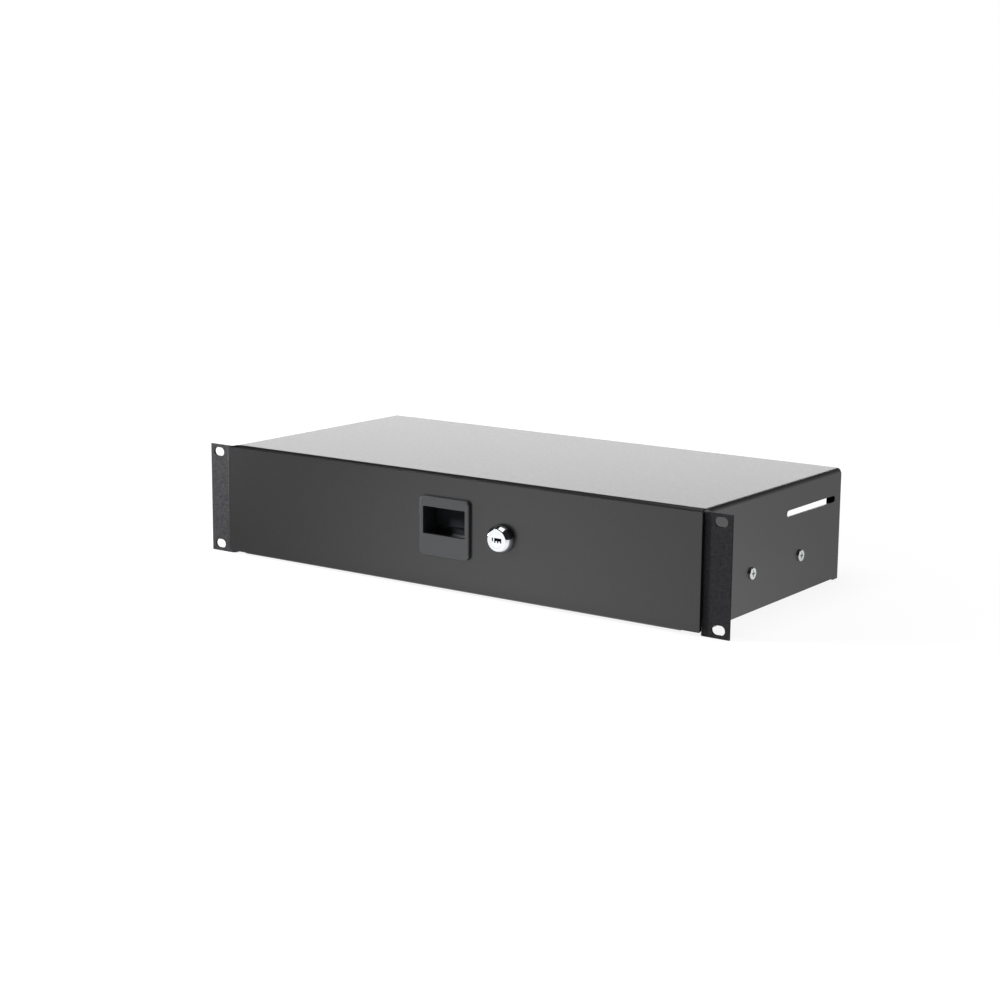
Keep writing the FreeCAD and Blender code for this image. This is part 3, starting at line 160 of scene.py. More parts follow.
def make_piece(name, shape, materials, body, stands_for=(), slot=None):
    """Turns a finished shape into a piece that rides on a body."""
    mesh = bpy.data.meshes.new(name)
    shape.to_mesh(mesh)
    shape.free()
    mesh.shade_smooth()
    mesh.set_sharp_from_angle(angle=SHARP_SHADING)
    for material in materials:
        mesh.materials.append(material)
    piece = bpy.data.objects.new(name, mesh)
    bpy.context.scene.collection.objects.link(piece)
    even = piece.modifiers.new("even_shading", "WEIGHTED_NORMAL")
    even.keep_sharp = True
    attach(piece, body)
    if stands_for:
        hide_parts(*stands_for)
    return piece


def eased_piece(node, width, materials, choose=None, reshape=None):
    """Replaces a piece of the frame by a copy with its edges rounded, as its making leaves them.

    choose gives the number of a face's material where there is more than one. reshape changes
    the copy before its edges are rounded.
    """
    shape = merged_copy(node)
    if reshape:
        reshape(shape)
    round_edges(shape, width)
    if choose:
        shape.normal_update()
        for face in shape.faces:
            face.material_index = choose(face)
    return make_piece(node + "_finished", shape, materials, BODY_OF[node], (node,), SLOT_OF[node])


def lathe(profile, axis_point, steps):
    """A closed ring turned about an axis along Y, from (radius, along) corners of its section."""
    shape = bmesh.new()
    corners = [shape.verts.new((axis_point.x + out, along, axis_point.z))
               for out, along in profile]
    rim = [shape.edges.new((a, b)) for a, b in zip(corners, corners[1:] + corners[:1])]
    bmesh.ops.spin(shape, geom=corners + rim, cent=axis_point, axis=(0, 1, 0), angle=math.tau,
                   steps=steps, use_merge=True)
    bmesh.ops.remove_doubles(shape, verts=shape.verts, dist=WELD)
    bmesh.ops.recalc_face_normals(shape, faces=shape.faces)
    return shape


def cut_thread(shape, axis_point, radius, start, end, pitch):
    """A helical thread on the plain cylinder of a lathe shape, fading out at both ends."""
    def on_cylinder(v):
        return abs(math.hypot(v.co.x - axis_point.x, v.co.z - axis_point.z) - radius) < TOUCH / 2

    long_edges = [e for e in shape.edges if all(on_cylinder(v) for v in e.verts)
                  and abs(e.verts[0].co.y - e.verts[1].co.y) > 0.5 * (end - start)]
    cuts = round((end - start) / pitch * ROWS_PER_TURN)
    bmesh.ops.subdivide_edges(shape, edges=long_edges, cuts=cuts, use_grid_fill=True)
    depth = THREAD_DEPTH * pitch
    for v in shape.verts:
        if not (on_cylinder(v) and start < v.co.y < end):
            continue
        out = Vector((v.co.x - axis_point.x, 0, v.co.z - axis_point.z))
        phase = (v.co.y / pitch + math.atan2(out.z, out.x) / math.tau) % 1
        fade = min(1, (v.co.y - start) / pitch, (end - v.co.y) / pitch)
        v.co -= out.normalized() * (depth * fade * abs(2 * phase - 1))


def loose_parts(shape):
    """The separate parts of a shape, each as a list of its corners."""
    seen = set()
    for seed in shape.verts:
        if seed in seen:
            continue
        seen.add(seed)
        part = [seed]
        for v in part:
            fresh = [e.other_vert(v) for e in v.link_edges if e.other_vert(v) not in seen]
            seen.update(fresh)
            part += fresh
        yield part


def flatten_heads(shape, sizes, outward):
    """Widens the flat top of screw heads that look along X.

    outward is 1 where the heads look away from the middle of the drawer, and -1 where they look
    towards it.
    """
    crown = max(outward * abs(v.co.x) for v in shape.verts)
    rim = sizes.head / 2 - sizes.dome
    scale = sizes.head_corner / sizes.dome
    for part in loose_parts(shape):
        side = outward if part[0].co.x > 0 else -outward
        rows = [v.co.y for v in part], [v.co.z for v in part]
        middle = Vector((0, *((min(row) + max(row)) / 2 for row in rows)))
        for v in part:
            out = Vector((0, v.co.y, v.co.z)) - middle
            over, rise = out.length - rim, side * v.co.x - crown + sizes.dome
            if over > -TOUCH and rise > -TOUCH:
                reach = sizes.head / 2 - sizes.head_corner + over * scale
                place = middle + out.normalized() * reach
                place.x = side * (crown - sizes.head_corner + rise * scale)
                v.co = place


# -------------------------------------------------------------- materials

def powder_coat(name, dark, light, grain, depth, roughness, shine=0.5):
    """Baked polyester powder coat on steel: even black, a satin gloss broken by a fine grain.

    Where the grain is coarse its pits swallow part of the shine. The smooth coat's grain is its
    orange peel. The grained coat's texture is really about 1 mm across and is too fine to show
    on the whole drawer, so it is drawn about twice as coarse.
    """
    material, tree, place = start_material(name)
    fine = add(tree, "ShaderNodeTexNoise", {"Scale": 1 / grain, "Detail": 2, "Roughness": 0.6},
               {"Vector": (place, "Object")})
    # The colour follows the grain's height, darker in its pits and lighter on its peaks: painted
    # shade and painted highlight, strong on the ears.
    tint = add(tree, "ShaderNodeMix", {COLOUR_A: dark, COLOUR_B: light}, {0: (fine, "Fac")},
               data_type="RGBA")
    gloss = add(tree, "ShaderNodeMapRange",
                {"To Min": roughness - 0.05, "To Max": roughness + 0.05}, {"Value": (fine, "Fac")})
    height = add(tree, "ShaderNodeBump", {"Strength": 1.0, "Distance": depth},
                 {"Height": (fine, "Fac")})
    shader = add(tree, "ShaderNodeBsdfPrincipled", {"IOR": 1.5, "Specular IOR Level": shine},
                 {"Base Color": (tint, COLOUR_OUT), "Roughness": (gloss, "Result"),
                  "Normal": (height, "Normal")})
    return close_material(material, tree, shader)


def moulded_plastic(name, dark, light, roughness, shine=0.5):
    """Injection-moulded ABS with a spark-eroded texture: dull black that greys in broad light.

    A deep texture swallows part of the shine. The texture is really about 0.1 mm and is drawn at
    0.6 mm, so that it shows.
    """
    material, tree, place = start_material(name)
    fine = add(tree, "ShaderNodeTexNoise", {"Scale": 1 / (0.6 * MM), "Detail": 3},
               {"Vector": (place, "Object")})
    tint = add(tree, "ShaderNodeMix", {COLOUR_A: dark, COLOUR_B: light}, {0: (fine, "Fac")},
               data_type="RGBA")
    gloss = add(tree, "ShaderNodeMapRange",
                {"To Min": roughness - 0.06, "To Max": roughness + 0.06}, {"Value": (fine, "Fac")})
    height = add(tree, "ShaderNodeBump", {"Strength": 1.0, "Distance": 0.01 * MM},
                 {"Height": (fine, "Fac")})
    shader = add(tree, "ShaderNodeBsdfPrincipled", {"IOR": 1.53, "Specular IOR Level": shine},
                 {"Base Color": (tint, COLOUR_OUT), "Roughness": (gloss, "Result"),
                  "Normal": (height, "Normal")})
    return close_material(material, tree, shader)


def zinc_plate(name, dark, light):
    """Bright passivated zinc on rolled steel: pale metal, faintly mottled, with rolling lines.

    The mottle is 7 mm across. The rolling lines run from front to back, 25 times as long as they
    are wide. They are drawn 0.5 mm wide, coarser than the real ones, so that they show.
    """
    material, tree, place = start_material(name)
    mottle = add(tree, "ShaderNodeTexNoise",
                 {"Scale": 1 / (7 * MM), "Detail": 4, "Roughness": 0.65},
                 {"Vector": (place, "Object")})
    along = add(tree, "ShaderNodeMapping", {"Scale": (1, 0.04, 1)}, {"Vector": (place, "Object")})
    lines = add(tree, "ShaderNodeTexNoise", {"Scale": 1 / (0.5 * MM), "Detail": 2},
                {"Vector": (along, "Vector")})
    tint = add(tree, "ShaderNodeMix", {COLOUR_A: dark, COLOUR_B: light}, {0: (mottle, "Fac")},
               data_type="RGBA")
    gloss = add(tree, "ShaderNodeMapRange", {"To Min": 0.2, "To Max": 0.42},
                {"Value": (mottle, "Fac")})
    height = add(tree, "ShaderNodeBump", {"Strength": 1.0, "Distance": 0.004 * MM},
                 {"Height": (lines, "Fac")})
    shader = add(tree, "ShaderNodeBsdfPrincipled", {"Metallic": 1.0},
                 {"Base Color": (tint, COLOUR_OUT), "Roughness": (gloss, "Result"),
                  "Normal": (height, "Normal")})
    return close_material(material, tree, shader)


def chrome_plate(name, colour):
    """Decorative chrome on a zinc die casting: a mirror, slightly wavy every 6 mm or so."""
    material, tree, place = start_material(name)
    waves = add(tree, "ShaderNodeTexNoise", {"Scale": 1 / (6 * MM), "Detail": 1},
                {"Vector": (place, "Object")})
    gloss = add(tree, "ShaderNodeMapRange", {"To Min": 0.03, "To Max": 0.09},
                {"Value": (waves, "Fac")})
    height = add(tree, "ShaderNodeBump", {"Strength": 1.0, "Distance": 0.01 * MM},
                 {"Height": (waves, "Fac")})
    shader = add(tree, "ShaderNodeBsdfPrincipled", {"Metallic": 1.0, "Base Color": colour},
                 {"Roughness": (gloss, "Result"), "Normal": (height, "Normal")})
    return close_material(material, tree, shader)


def bare_steel(name, colour, roughness):
    """Polished or drawn bare steel: grey metal with a light haze of marks 0.8 mm apart."""
    material, tree, place = start_material(name)
    marks = add(tree, "ShaderNodeTexNoise", {"Scale": 1 / (0.8 * MM), "Detail": 3},
                {"Vector": (place, "Object")})
    gloss = add(tree, "ShaderNodeMapRange",
                {"To Min": roughness * 0.7, "To Max": roughness * 1.3}, {"Value": (marks, "Fac")})
    shader = add(tree, "ShaderNodeBsdfPrincipled", {"Metallic": 1.0, "Base Color": colour},
                 {"Roughness": (gloss, "Result")})
    return close_material(material, tree, shader)


FINISHES = {}


def finish(name):
    """One of the drawer's finishes, made when it is first asked for."""
    coat, colours = bpy.context.scene.rack_drawer_coat, bpy.context.scene.rack_drawer_colours
    makers = {
        "satin_powder_coat": (powder_coat, dict(
            dark=colours.coat_dark, light=colours.coat_light, grain=coat.orange_peel,
            depth=coat.orange_peel_depth, roughness=coat.roughness)),
        "textured_powder_coat": (powder_coat, dict(
            dark=colours.ear_pit_painted_shade, light=colours.ear_peak_painted_highlight, grain=coat.grain,
            depth=coat.grain_depth, roughness=coat.ear_roughness, shine=coat.ear_shine)),
        "cut_edge_coat_and_painted_shade": (powder_coat, dict(
            dark=colours.cut_edge_and_painted_shade_dark, light=colours.cut_edge_and_painted_shade_light, grain=coat.grain,
            depth=coat.grain_depth, roughness=coat.cut_roughness, shine=coat.ear_shine)),
        "satin_moulded_abs": (moulded_plastic, dict(
            dark=colours.housing_dark, light=colours.housing_light, roughness=0.4)),
        "matte_moulded_abs": (moulded_plastic, dict(
            dark=colours.lever_dark, light=colours.lever_light, roughness=0.6, shine=0.05)),
        "bright_zinc_plate": (zinc_plate, dict(dark=colours.zinc_dark, light=colours.zinc_light)),
        "chrome_plate": (chrome_plate, dict(colour=colours.chrome)),
        "polished_steel": (bare_steel, dict(colour=colours.steel, roughness=0.1)),
        "drawn_spring_wire": (bare_steel, dict(colour=colours.wire, roughness=0.3)),
    }
    if name not in FINISHES:
        make, values = makers[name]
        FINISHES[name] = make(name, **values)
    return FINISHES[name]


# --------------------------------------------------------------- settings

def length(name, description, size, least=0.0, most=1.0):
    """A size that the sidebar shows as a length."""
    return FloatProperty(name=name, description=description, default=size, min=least, max=most,
                         unit="LENGTH", precision=6)


def factor(name, description, value):
    """A share from 0 to 1."""
    return FloatProperty(name=name, description=description, default=value, min=0.0, max=1.0,
                         subtype="FACTOR")


def colour(name, description, code):
    """A colour written as sRGB hex."""
    return FloatVectorProperty(name=name, description=description, default=linear(code), size=4,
                               min=0.0, max=1.0, subtype="COLOR")


def watts(name, description, value):
    """The power of a lamp."""
    return FloatProperty(name=name, description=description, default=value, min=0.0, unit="POWER")


def strength(name, description, value):
    """How bright a part of the studio is, where 1 is white."""
    return FloatProperty(name=name, description=description, default=value, min=0.0)


class ColourSettings(bpy.types.PropertyGroup):
    """Colours of the finishes. Most drift between a darker and a lighter one."""
    coat_dark: colour("Smooth coat, dark", "Darker colour of the smooth powder coat", "#18181A")
    coat_light: colour("Smooth coat, light", "Lighter colour of the smooth powder coat", "#262628")
    # The ears' grain is painted: its darker pits are painted shade, its lighter peaks painted
    # highlight.
    ear_pit_painted_shade: colour("Ears, dark", "Grained coat of the ears, in its pits", "#161618")
    ear_peak_painted_highlight: colour("Ears, light", "Grained coat of the ears, on its peaks", "#5E5E62")
    # Near-black coat of the ears' cut edges, which also paints shade on the ears' bends and on the
    # panel's upper return.
    cut_edge_and_painted_shade_dark: colour("Cut edges, dark", "Darker colour of the thin coat there", "#0A0A0B")
    cut_edge_and_painted_shade_light: colour("Cut edges, light", "Lighter colour of the thin coat there", "#121213")
    housing_dark: colour("Housing, dark", "Darker colour of the latch's housing", "#35373A")
    housing_light: colour("Housing, light", "Lighter colour of the latch's housing", "#47494C")
    lever_dark: colour("Lever, dark", "Darker colour of the latch's lever", "#333539")
    lever_light: colour("Lever, light", "Lighter colour of the latch's lever", "#4A4C50")
    zinc_dark: colour("Zinc, dark", "Darker mottle of the zinc plate", "#B4B8BE")
    zinc_light: colour("Zinc, light", "Lighter mottle of the zinc plate", "#D6D7D4")
    chrome: colour("Chrome", "Chrome of the lock", "#B4B6B8")
    steel: colour("Steel", "Polished steel of the balls and the latch pin", "#C9CACC")
    wire: colour("Wire", "Drawn wire of the latch spring", "#8C8D90")


class CoatSettings(bpy.types.PropertyGroup):
    """Powder coat of the case, the tray and the front panel."""
    edge: length("Edge radius", "Rounding of the coated sheet edges",
                 0.3 * MM, 0.05 * MM, 0.6 * MM)
    roughness: factor("Roughness", "Roughness of the smooth coat", 0.32)
    orange_peel: length("Orange peel", "Distance between the waves of the smooth coat",
                        2.5 * MM, 0.2 * MM)
    orange_peel_depth: length("Orange peel depth", "Height of the smooth coat's waves", 0.003 * MM)
    grain: length("Grain", "Size of the grained coat's texture on the ears", 2.0 * MM, 0.2 * MM)
    grain_depth: length("Grain depth", "Height of the grained coat's texture", 0.03 * MM)
    ear_roughness: factor("Ear roughness", "Roughness of the grained coat on the ears", 0.7)
    ear_shine: factor("Ear shine", "Strength of the grained coat's reflections", 0.2)
    cut_roughness: factor("Cut edge roughness", "Roughness of the thin coat on cut edges", 0.8)


class EdgeSettings(bpy.types.PropertyGroup):
    """How far the edges of the other pieces are rounded."""
    moulded: length("Moulded", "Rounding of the moulded plastic edges",
                    0.5 * MM, 0.05 * MM, 0.6 * MM)
    turned: length("Turned", "Rounding of screws, nuts and the lock's small pieces",
                   0.12 * MM, 0.02 * MM, 0.3 * MM)
    rolled: length("Rolled", "Rounding of the slides' sheet edges",
                   0.12 * MM, 0.02 * MM, 0.3 * MM)


class ScrewSettings(bpy.types.PropertyGroup):
    """Heads of the slide screws."""
    head: length("Head", "Diameter of the heads", 8.8 * MM)
    dome: length("Dome", "Rounding of the heads as they come from the frame", 1.275 * MM, 0.1 * MM)
    head_corner: length("Head corner", "Rounding the heads are given", 0.55 * MM, 0.1 * MM)


class LockSettings(bpy.types.PropertyGroup):
    """Turned body of the cam lock."""
    face: length("Face", "Diameter of the flat face", 16.4 * MM)
    shoulder: length("Shoulder", "Diameter behind the sloping rim of the face", 20.4 * MM)
    slope: length("Slope", "Height of the sloping rim", 2.4 * MM)
    collar: length("Collar", "Straight part of the collar", 2.2 * MM)
    barrel: length("Barrel", "Diameter over the thread", 19.0 * MM)
    flats: length("Flats", "Width over the barrel's flats", 16.4 * MM)
    bore: length("Bore", "Bore for the plug", 12.1 * MM)
    pitch: length("Pitch", "Pitch of the barrel's thread", 1.0 * MM, 0.2 * MM)
    rounding: length("Rounding", "Rounding of the turned corners", 0.5 * MM)
    steps: IntProperty(name="Steps", description="Divisions round the lock", default=96, min=24)


class StageSettings(bpy.types.PropertyGroup):
    """Camera, lights and floor."""
    camera_place: FloatVectorProperty(
        name="Camera", description="Where the camera stands",
        default=(0.88465, -1.18186, 0.3126), subtype="TRANSLATION", unit="LENGTH")
    camera_way: FloatVectorProperty(
        name="Looks along", description="The camera's direction of view",
        default=(-0.56788, 0.8007, -0.19076), subtype="DIRECTION")
    camera_roll: FloatProperty(
        name="Roll", description="Turn of the camera about its line of sight",
        default=math.radians(0.479), unit="ROTATION")
    lens: FloatProperty(
        name="Lens", description="Focal length on a 36 mm sensor", default=72.28, min=20.0,
        unit="CAMERA")
    key_power: watts("Key light", "Small softbox, high at the front left", 2.3)
    glint_power: watts("Key glint", "The key light as gloss shows it", 1.1)
    left_power: watts("Left light", "Small softbox at the left", 2.3)
    side_power: watts("Right light", "Softbox at the right", 2.0)
    back_power: watts("Back light", "Broad softbox behind", 5.7)
    top_power: watts("Top light", "Softbox overhead", 5.6)
    ambient: strength("Ambient", "Soft light from all sides", 0.06)
    backdrop: strength("Backdrop", "How bright the wall behind looks in the gloss", 0.455)
    ceiling: strength("Ceiling", "How bright the rest of the studio looks in the gloss", 0.03)
    # The floor's glow in the drawer's gloss is painted light.
    ground: strength("Floor", "How bright the floor in front looks in the gloss", 1.9)
    ground_behind: strength("Floor behind", "How bright the floor behind looks in the gloss", 1.26)
    shadow_white: factor("Shadow white", "White of the floor where the shadow falls", 0.88)


# -------------------------------------------------------------- operators

def coat_of_case(face):
    """Which coat a face of the case has: 0 smooth, 1 the ears' grain, 2 near black, the ears' cut
    edges and painted shade on their bends.
    """
    spot = face.calc_center_median()
    if abs(spot.x) <= EAR_START or spot.y >= EAR_BACK:
        return 0
    return 1 if abs(face.normal.y) > FACING or spot.y > TOUCH else 2


def coat_of_panel(face):
    """Which coat a face of the front panel has: 0 smooth, 1 a near-black coat on its upper return,
    painted shade under the case's top.
    """
    near_top = face.calc_center_median().z > 0.9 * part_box("front_panel")[1].z
    return int(near_top and face.normal.z > FACING)


class RACKDRAWER_OT_case(bpy.types.Operator):
    """Folded case with its ears, and the latch keeper under its top"""
    bl_idname = "rack_drawer.case"
    bl_label = "Case"

    def execute(self, context):
        edge = context.scene.rack_drawer_coat.edge
        smooth = finish("satin_powder_coat")
        # The third coat is near black: the coat of the ears' cut edges, and painted shade on their
        # bends.
        coats = smooth, finish("textured_powder_coat"), finish("cut_edge_coat_and_painted_shade")
        eased_piece("case_shell", edge, coats, choose=coat_of_case)
        eased_piece("latch_keeper", edge, (smooth,))
        return {"FINISHED"}


class RACKDRAWER_OT_drawer(bpy.types.Operator):
    """Tray and front panel"""
    bl_idname = "rack_drawer.drawer"
    bl_label = "Tray and front panel"

    def execute(self, context):
        edge = context.scene.rack_drawer_coat.edge
        # The near-black coat on the panel's upper return is painted shade under the case's top.
        smooth, thin = finish("satin_powder_coat"), finish("cut_edge_coat_and_painted_shade")
        eased_piece("tray", edge, (smooth,))
        eased_piece("front_panel", edge, (smooth, thin), choose=coat_of_panel)
        return {"FINISHED"}


class RACKDRAWER_OT_latch(bpy.types.Operator):
    """Finger latch: housing, lever, pin and spring"""
    bl_idname = "rack_drawer.latch"
    bl_label = "Latch"

    def execute(self, context):
        edges = context.scene.rack_drawer_edges
        eased_piece("latch_housing", edges.moulded, (finish("satin_moulded_abs"),))
        # The lever is finer than its housing, and its edges are rounded half as far.
        eased_piece("latch_lever", 0.5 * edges.moulded, (finish("matte_moulded_abs"),))
        eased_piece("latch_pin", edges.turned, (finish("polished_steel"),))
        finish_node("latch_spring", finish("drawn_spring_wire"))
        return {"FINISHED"}


class RACKDRAWER_OT_lock(bpy.types.Operator):
    """Cam lock: turned and threaded body, plug, cam, and what holds them"""
    bl_idname = "rack_drawer.lock"
    bl_label = "Lock"

    def execute(self, context):
        edge = context.scene.rack_drawer_edges.turned
        chrome, zinc = finish("chrome_plate"), finish("bright_zinc_plate")
        self.make_body(context.scene.rack_drawer_lock, chrome)
        # A narrower rounding keeps the plug's keyway crisp.
        eased_piece("lock_plug", 0.4 * edge, (chrome,))
        for node in ("lock_cam", "cam_screw", "lock_washer"):
            eased_piece(node, edge, (zinc,))
        # The nut's chamfers meet in thin slivers, which a wider rounding would fold over.
        eased_piece("lock_nut", 0.2 * edge, (zinc,))
        return {"FINISHED"}

    def make_body(self, sizes, chrome):
        """The lock's body: collar in front, threaded barrel with two flats behind."""
        low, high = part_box("lock_housing")
        middle = (low + high) / 2
        front, rear, widest = low.y, high.y, (high.x - low.x) / 2
        seat, barrel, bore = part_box("front_panel")[0].y, sizes.barrel / 2, sizes.bore / 2
        # From the bore out over the face and its rim, back along the collar, which rests on the
        # panel, and along the barrel to the bore's rear.
        profile = [(bore, front), (sizes.face / 2, front),
                   (sizes.shoulder / 2, front + sizes.slope), (widest, seat - sizes.collar),
                   (widest, seat), (barrel, seat), (barrel, rear), (bore, rear)]

        def in_bore(edge):
            corner = edge.verts[0].co
            return math.hypot(corner.x - middle.x, corner.z - middle.z) < bore + TOUCH

        shape = lathe(profile, Vector((middle.x, 0, middle.z)), sizes.steps)
        round_edges(shape, sizes.rounding, skip=in_bore)
        cut_thread(shape, middle, barrel, seat + sizes.collar, rear - sizes.rounding, sizes.pitch)
        for v in shape.verts:
            if v.co.y > seat + TOUCH:
                rise = v.co.z - middle.z
                v.co.z = middle.z + max(-sizes.flats / 2, min(sizes.flats / 2, rise))
        make_piece("lock_body", shape, (chrome,), "drawer", ("lock_housing",), "chrome_plate")


class RACKDRAWER_OT_slides(bpy.types.Operator):
    """Ball-bearing slides on both sides"""
    bl_idname = "rack_drawer.slides"
    bl_label = "Slides"

    def execute(self, context):
        edge = context.scene.rack_drawer_edges.rolled
        zinc, steel = finish("bright_zinc_plate"), finish("polished_steel")
        members = "slide_outer", "slide_middle", "slide_inner", "outer_cage", "inner_cage"
        for side in ("left_", "right_"):
            for member in members:
                eased_piece(side + member, edge, (zinc,))
            for row in ("outer_balls", "inner_balls"):
                finish_node(side + row, steel)
        return {"FINISHED"}


class RACKDRAWER_OT_fasteners(bpy.types.Operator):
    """Screws, studs and nuts"""
    bl_idname = "rack_drawer.fasteners"
    bl_label = "Fasteners"

    def execute(self, context):
        edge, screws = context.scene.rack_drawer_edges.turned, context.scene.rack_drawer_screws
        zinc = finish("bright_zinc_plate")
        for node, outward in (("slide_case_screws", 1), ("slide_tray_screws", -1)):
            eased_piece(node, edge, (zinc,),
                        reshape=lambda shape, way=outward: flatten_heads(shape, screws, way))
        for node in ("panel_studs", "panel_nuts"):
            eased_piece(node, edge, (zinc,))
        return {"FINISHED"}


def softbox(name, middle, azimuth, elevation, distance, size, power, diffuse=True, glossy=True):
    """One rectangular lamp that faces middle and is unseen by the camera.

    Azimuth and elevation are in degrees, and azimuth counts from the front round to the left.
    """
    turn, lift = math.radians(azimuth), math.radians(elevation)
    way = Vector((-math.sin(turn) * math.cos(lift), -math.cos(turn) * math.cos(lift),
                  math.sin(lift)))
    data = bpy.data.lights.new(name, "AREA")
    data.shape = "RECTANGLE"
    data.size, data.size_y = size
    data.energy = power
    lamp = bpy.data.objects.new(name, data)
    lamp.location = Vector(middle) + distance * way
    lamp.rotation_euler = (-way).to_track_quat("-Z", "Y").to_euler()
    lamp.visible_camera = False
    lamp.visible_diffuse = diffuse
    lamp.visible_glossy = glossy
    bpy.context.scene.collection.objects.link(lamp)


def hang_lamps(stage):
    """Soft lamps round the drawer.

    Each has the point it faces, its azimuth, elevation and distance from there, its width and
    height, and its power.
    """
    # The key light's mirror image is dimmed, or it would burn out on the coated top seen from
    # behind.
    key = (0, -0.008, 0.01), 43, 30, 0.65
    softbox("key_softbox", *key, (0.12, 0.12), stage.key_power, glossy=False)
    softbox("key_glint", *key, (0.2, 0.2), stage.glint_power, diffuse=False)
    softbox("left_softbox", (-0.23, 0, -0.02), 75, 0, 0.4, (0.15, 0.2), stage.left_power)
    softbox("right_softbox", (0.22, 0.03, 0), -118, 3, 0.9, (0.6, 0.4), stage.side_power)
    softbox("back_softbox", (0, 0.1, 0), 147, 14, 1.6, (1.4, 0.6), stage.back_power)
    softbox("top_softbox", (0, 0.1, 0), 0, 80, 1.2, (0.8, 0.8), stage.top_power)


def set_camera(scene, stage):
    """The camera, level but for a slight roll, without shift."""
    camera = bpy.data.objects.new("camera", bpy.data.cameras.new("camera"))
    camera.data.lens = stage.lens
    camera.data.sensor_width = 36
    camera.location = stage.camera_place
    upright = Vector(stage.camera_way).to_track_quat("-Z", "Y")
    camera.rotation_euler = (upright @ Quaternion((0, 0, 1), stage.camera_roll)).to_euler()
    scene.collection.objects.link(camera)
    scene.camera = camera
    scene.view_settings.view_transform = "Standard"


def make_world(scene, stage):
    """White to the camera, a low even light on the drawer, and a pale wall behind in its gloss."""
    world = bpy.data.worlds.new("studio")
    scene.world = world
    world.use_nodes = True
    tree = world.node_tree
    tree.nodes.clear()
    ray = add(tree, "ShaderNodeLightPath")
    way = add(tree, "ShaderNodeTexCoord")
    parts = add(tree, "ShaderNodeSeparateXYZ", links={"Vector": (way, "Generated")})
    # The wall fades out upwards and towards the front.
    above = add(tree, "ShaderNodeMapRange",
                {"From Min": 0.2, "From Max": 0.55, "To Min": 1.0, "To Max": 0.0},
                {"Value": (parts, "Z")}, interpolation_type="SMOOTHSTEP")
    behind = add(tree, "ShaderNodeMapRange",
                 {"From Min": -0.05, "From Max": 0.35, "To Max": stage.backdrop},
                 {"Value": (parts, "Y")}, interpolation_type="SMOOTHSTEP")
    shine = add(tree, "ShaderNodeMath", {2: stage.ceiling},
                {0: (above, "Result"), 1: (behind, "Result")}, operation="MULTIPLY_ADD")
    mirrored = add(tree, "ShaderNodeMath",
                   links={0: (ray, "Is Glossy Ray"), 1: (ray, "Is Transmission Ray")},
                   operation="MAXIMUM")
    around = add(tree, "ShaderNodeBackground", {"Color": WHITE, "Strength": stage.ambient})
    sweep = add(tree, "ShaderNodeBackground", {"Color": WHITE}, {"Strength": (shine, "Value")})
    white = add(tree, "ShaderNodeBackground", {"Color": WHITE, "Strength": 1.0})
    unseen = add(tree, "ShaderNodeMixShader",
                 links={0: (mirrored, "Value"), 1: (around, "Background"),
                        2: (sweep, "Background")})
    mix = add(tree, "ShaderNodeMixShader",
              links={0: (ray, "Is Camera Ray"), 1: (unseen, "Shader"), 2: (white, "Background")})
    add(tree, "ShaderNodeOutputWorld", links={"Surface": (mix, "Shader")})


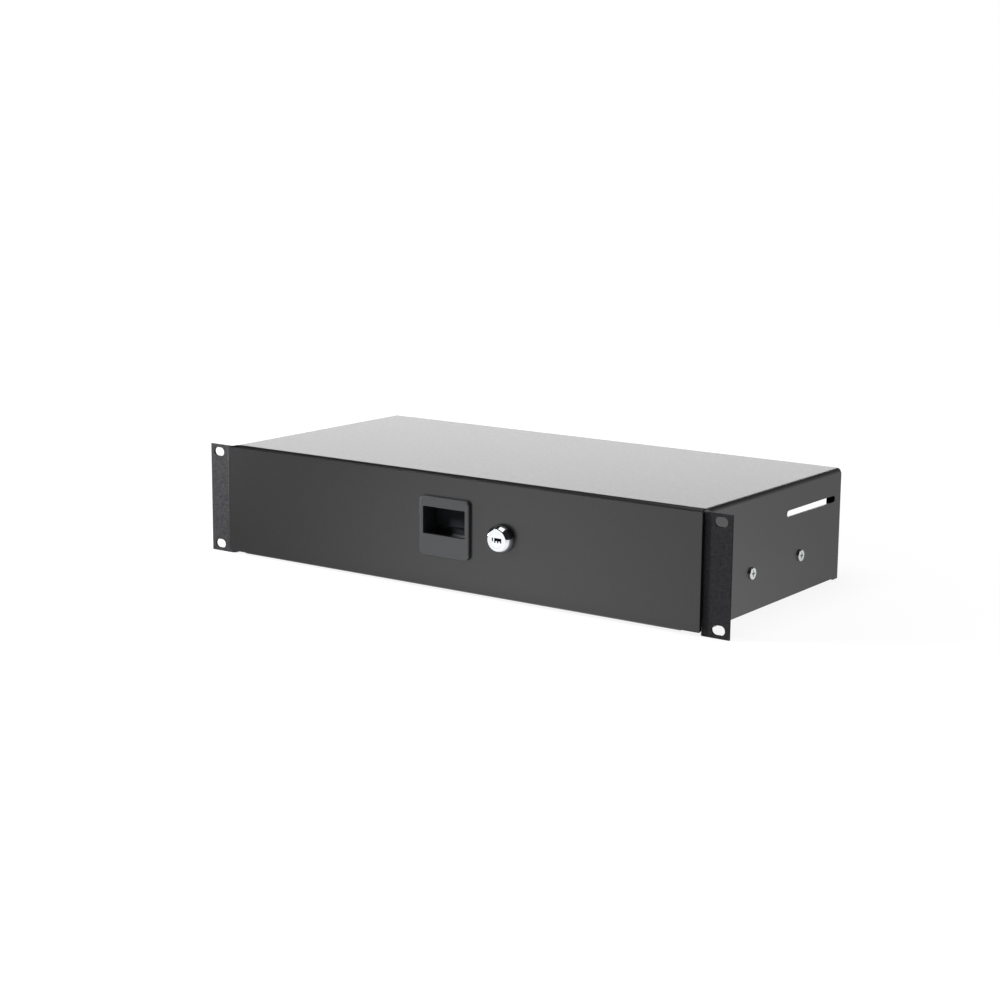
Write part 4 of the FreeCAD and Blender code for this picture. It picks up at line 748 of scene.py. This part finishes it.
def pale_floor(stage):
    """A plain pale floor: white to the camera but for the drawer's shadow, clear from below.

    In the drawer's gloss it glows with a broad streak of painted light.
    """
    material, tree, place = start_material("pale_floor")
    ray = add(tree, "ShaderNodeLightPath")
    lit = add(tree, "ShaderNodeBsdfDiffuse", {"Color": (0.25, 0.25, 0.25, 1)})
    # The painted streak in front rises from the left and falls a little to the right. Across runs
    # to the right and forwards, square to the line of sight.
    across = add(tree, "ShaderNodeVectorMath", {1: (0.815, -0.579, 0)}, {0: (place, "Object")},
                 operation="DOT_PRODUCT")
    rise = add(tree, "ShaderNodeMapRange",
               {"From Min": -0.24, "From Max": 0.07, "To Min": 0.08, "To Max": 1.0},
               {"Value": (across, "Value")}, interpolation_type="SMOOTHSTEP")
    fall = add(tree, "ShaderNodeMapRange",
               {"From Min": 0.07, "From Max": 0.27, "To Min": stage.ground,
                "To Max": 0.75 * stage.ground},
               {"Value": (across, "Value")}, interpolation_type="SMOOTHSTEP")
    ahead = add(tree, "ShaderNodeMath", links={0: (rise, "Result"), 1: (fall, "Result")},
                operation="MULTIPLY")
    # Behind, the painted glow only brightens towards the right.
    behind = add(tree, "ShaderNodeMapRange",
                 {"From Min": 0.04, "From Max": 0.2, "To Min": 0.5 * stage.ground_behind,
                  "To Max": stage.ground_behind},
                 {"Value": (across, "Value")})
    parts = add(tree, "ShaderNodeSeparateXYZ", links={"Vector": (place, "Object")})
    side = add(tree, "ShaderNodeMapRange", {"From Min": -0.04, "From Max": 0.04},
               {"Value": (parts, "Y")})
    bright = add(tree, "ShaderNodeMix",
                 links={0: (side, "Result"), NUMBER_A: (ahead, "Value"),
                        NUMBER_B: (behind, "Result")},
                 data_type="FLOAT")
    # This glow, seen only in the gloss, is painted light.
    seen = add(tree, "ShaderNodeMath",
               links={0: (ray, "Is Glossy Ray"), 1: (bright, NUMBER_OUT)}, operation="MULTIPLY")
    # Round the drawer the floor's own white is held back, so that its shadow shows.
    away = add(tree, "ShaderNodeVectorMath", links={0: (place, "Object")}, operation="LENGTH")
    white = add(tree, "ShaderNodeMapRange",
                {"From Min": 0.3, "From Max": 0.8, "To Min": stage.shadow_white, "To Max": 1.0},
                {"Value": (away, "Value")}, interpolation_type="SMOOTHSTEP")
    plain = add(tree, "ShaderNodeMath", links={0: (ray, "Is Camera Ray"), 1: (white, "Result")},
                operation="MULTIPLY")
    shown = add(tree, "ShaderNodeMath", links={0: (plain, "Value"), 1: (seen, "Value")},
                operation="MAXIMUM")
    glow = add(tree, "ShaderNodeEmission", {"Color": WHITE}, {"Strength": (shown, "Value")})
    both = add(tree, "ShaderNodeAddShader", links={0: (lit, "BSDF"), 1: (glow, "Emission")})
    back = add(tree, "ShaderNodeNewGeometry")
    clear = add(tree, "ShaderNodeBsdfTransparent")
    sided = add(tree, "ShaderNodeMixShader",
                links={0: (back, "Backfacing"), 1: (both, "Shader"), 2: (clear, "BSDF")})
    add(tree, "ShaderNodeOutputMaterial", links={"Surface": (sided, "Shader")})
    return material


def lay_floor(scene, stage):
    """The floor: 12 m square and 0.2 mm under the drawer."""
    shape = bmesh.new()
    bmesh.ops.create_grid(shape, x_segments=1, y_segments=1, size=6.0)
    bmesh.ops.translate(shape, vec=(0, 0, CAD_BOX[0].z - 0.2 * MM), verts=shape.verts)
    mesh = bpy.data.meshes.new("floor")
    shape.to_mesh(mesh)
    shape.free()
    mesh.materials.append(pale_floor(stage))
    floor = bpy.data.objects.new("floor", mesh)
    scene.collection.objects.link(floor)


class RACKDRAWER_OT_stage(bpy.types.Operator):
    """Camera, lights, world and floor"""
    bl_idname = "rack_drawer.stage"
    bl_label = "Stage"

    def execute(self, context):
        stage = context.scene.rack_drawer_stage
        set_camera(context.scene, stage)
        hang_lamps(stage)
        make_world(context.scene, stage)
        lay_floor(context.scene, stage)
        return {"FINISHED"}


class RACKDRAWER_PT_sidebar(bpy.types.Panel):
    """Settings and pieces of the rack drawer"""
    bl_idname = "RACKDRAWER_PT_sidebar"
    bl_label = "Rack drawer"
    bl_space_type = "VIEW_3D"
    bl_region_type = "UI"
    bl_category = "Rack drawer"

    def draw(self, context):
        for setting in SETTINGS:
            group = getattr(context.scene, setting)
            box = self.layout.box()
            for name in group.__annotations__:
                box.prop(group, name)
        for operator in OPERATORS:
            self.layout.operator(operator.bl_idname)


SETTINGS = {
    "rack_drawer_colours": ColourSettings,
    "rack_drawer_coat": CoatSettings,
    "rack_drawer_edges": EdgeSettings,
    "rack_drawer_screws": ScrewSettings,
    "rack_drawer_lock": LockSettings,
    "rack_drawer_stage": StageSettings,
}
OPERATORS = (RACKDRAWER_OT_case, RACKDRAWER_OT_drawer, RACKDRAWER_OT_latch, RACKDRAWER_OT_lock,
             RACKDRAWER_OT_slides, RACKDRAWER_OT_fasteners, RACKDRAWER_OT_stage)


def register():
    for made in (*SETTINGS.values(), *OPERATORS, RACKDRAWER_PT_sidebar):
        bpy.utils.register_class(made)
    for name, group in SETTINGS.items():
        setattr(bpy.types.Scene, name, PointerProperty(type=group))


def unregister():
    for name in SETTINGS:
        delattr(bpy.types.Scene, name)
    for made in (RACKDRAWER_PT_sidebar, *OPERATORS, *SETTINGS.values()):
        bpy.utils.unregister_class(made)


def main():
    register()
    for operator in OPERATORS:
        group, name = operator.bl_idname.split(".")
        getattr(getattr(bpy.ops, group), name)()


if __name__ == "__main__":
    main()
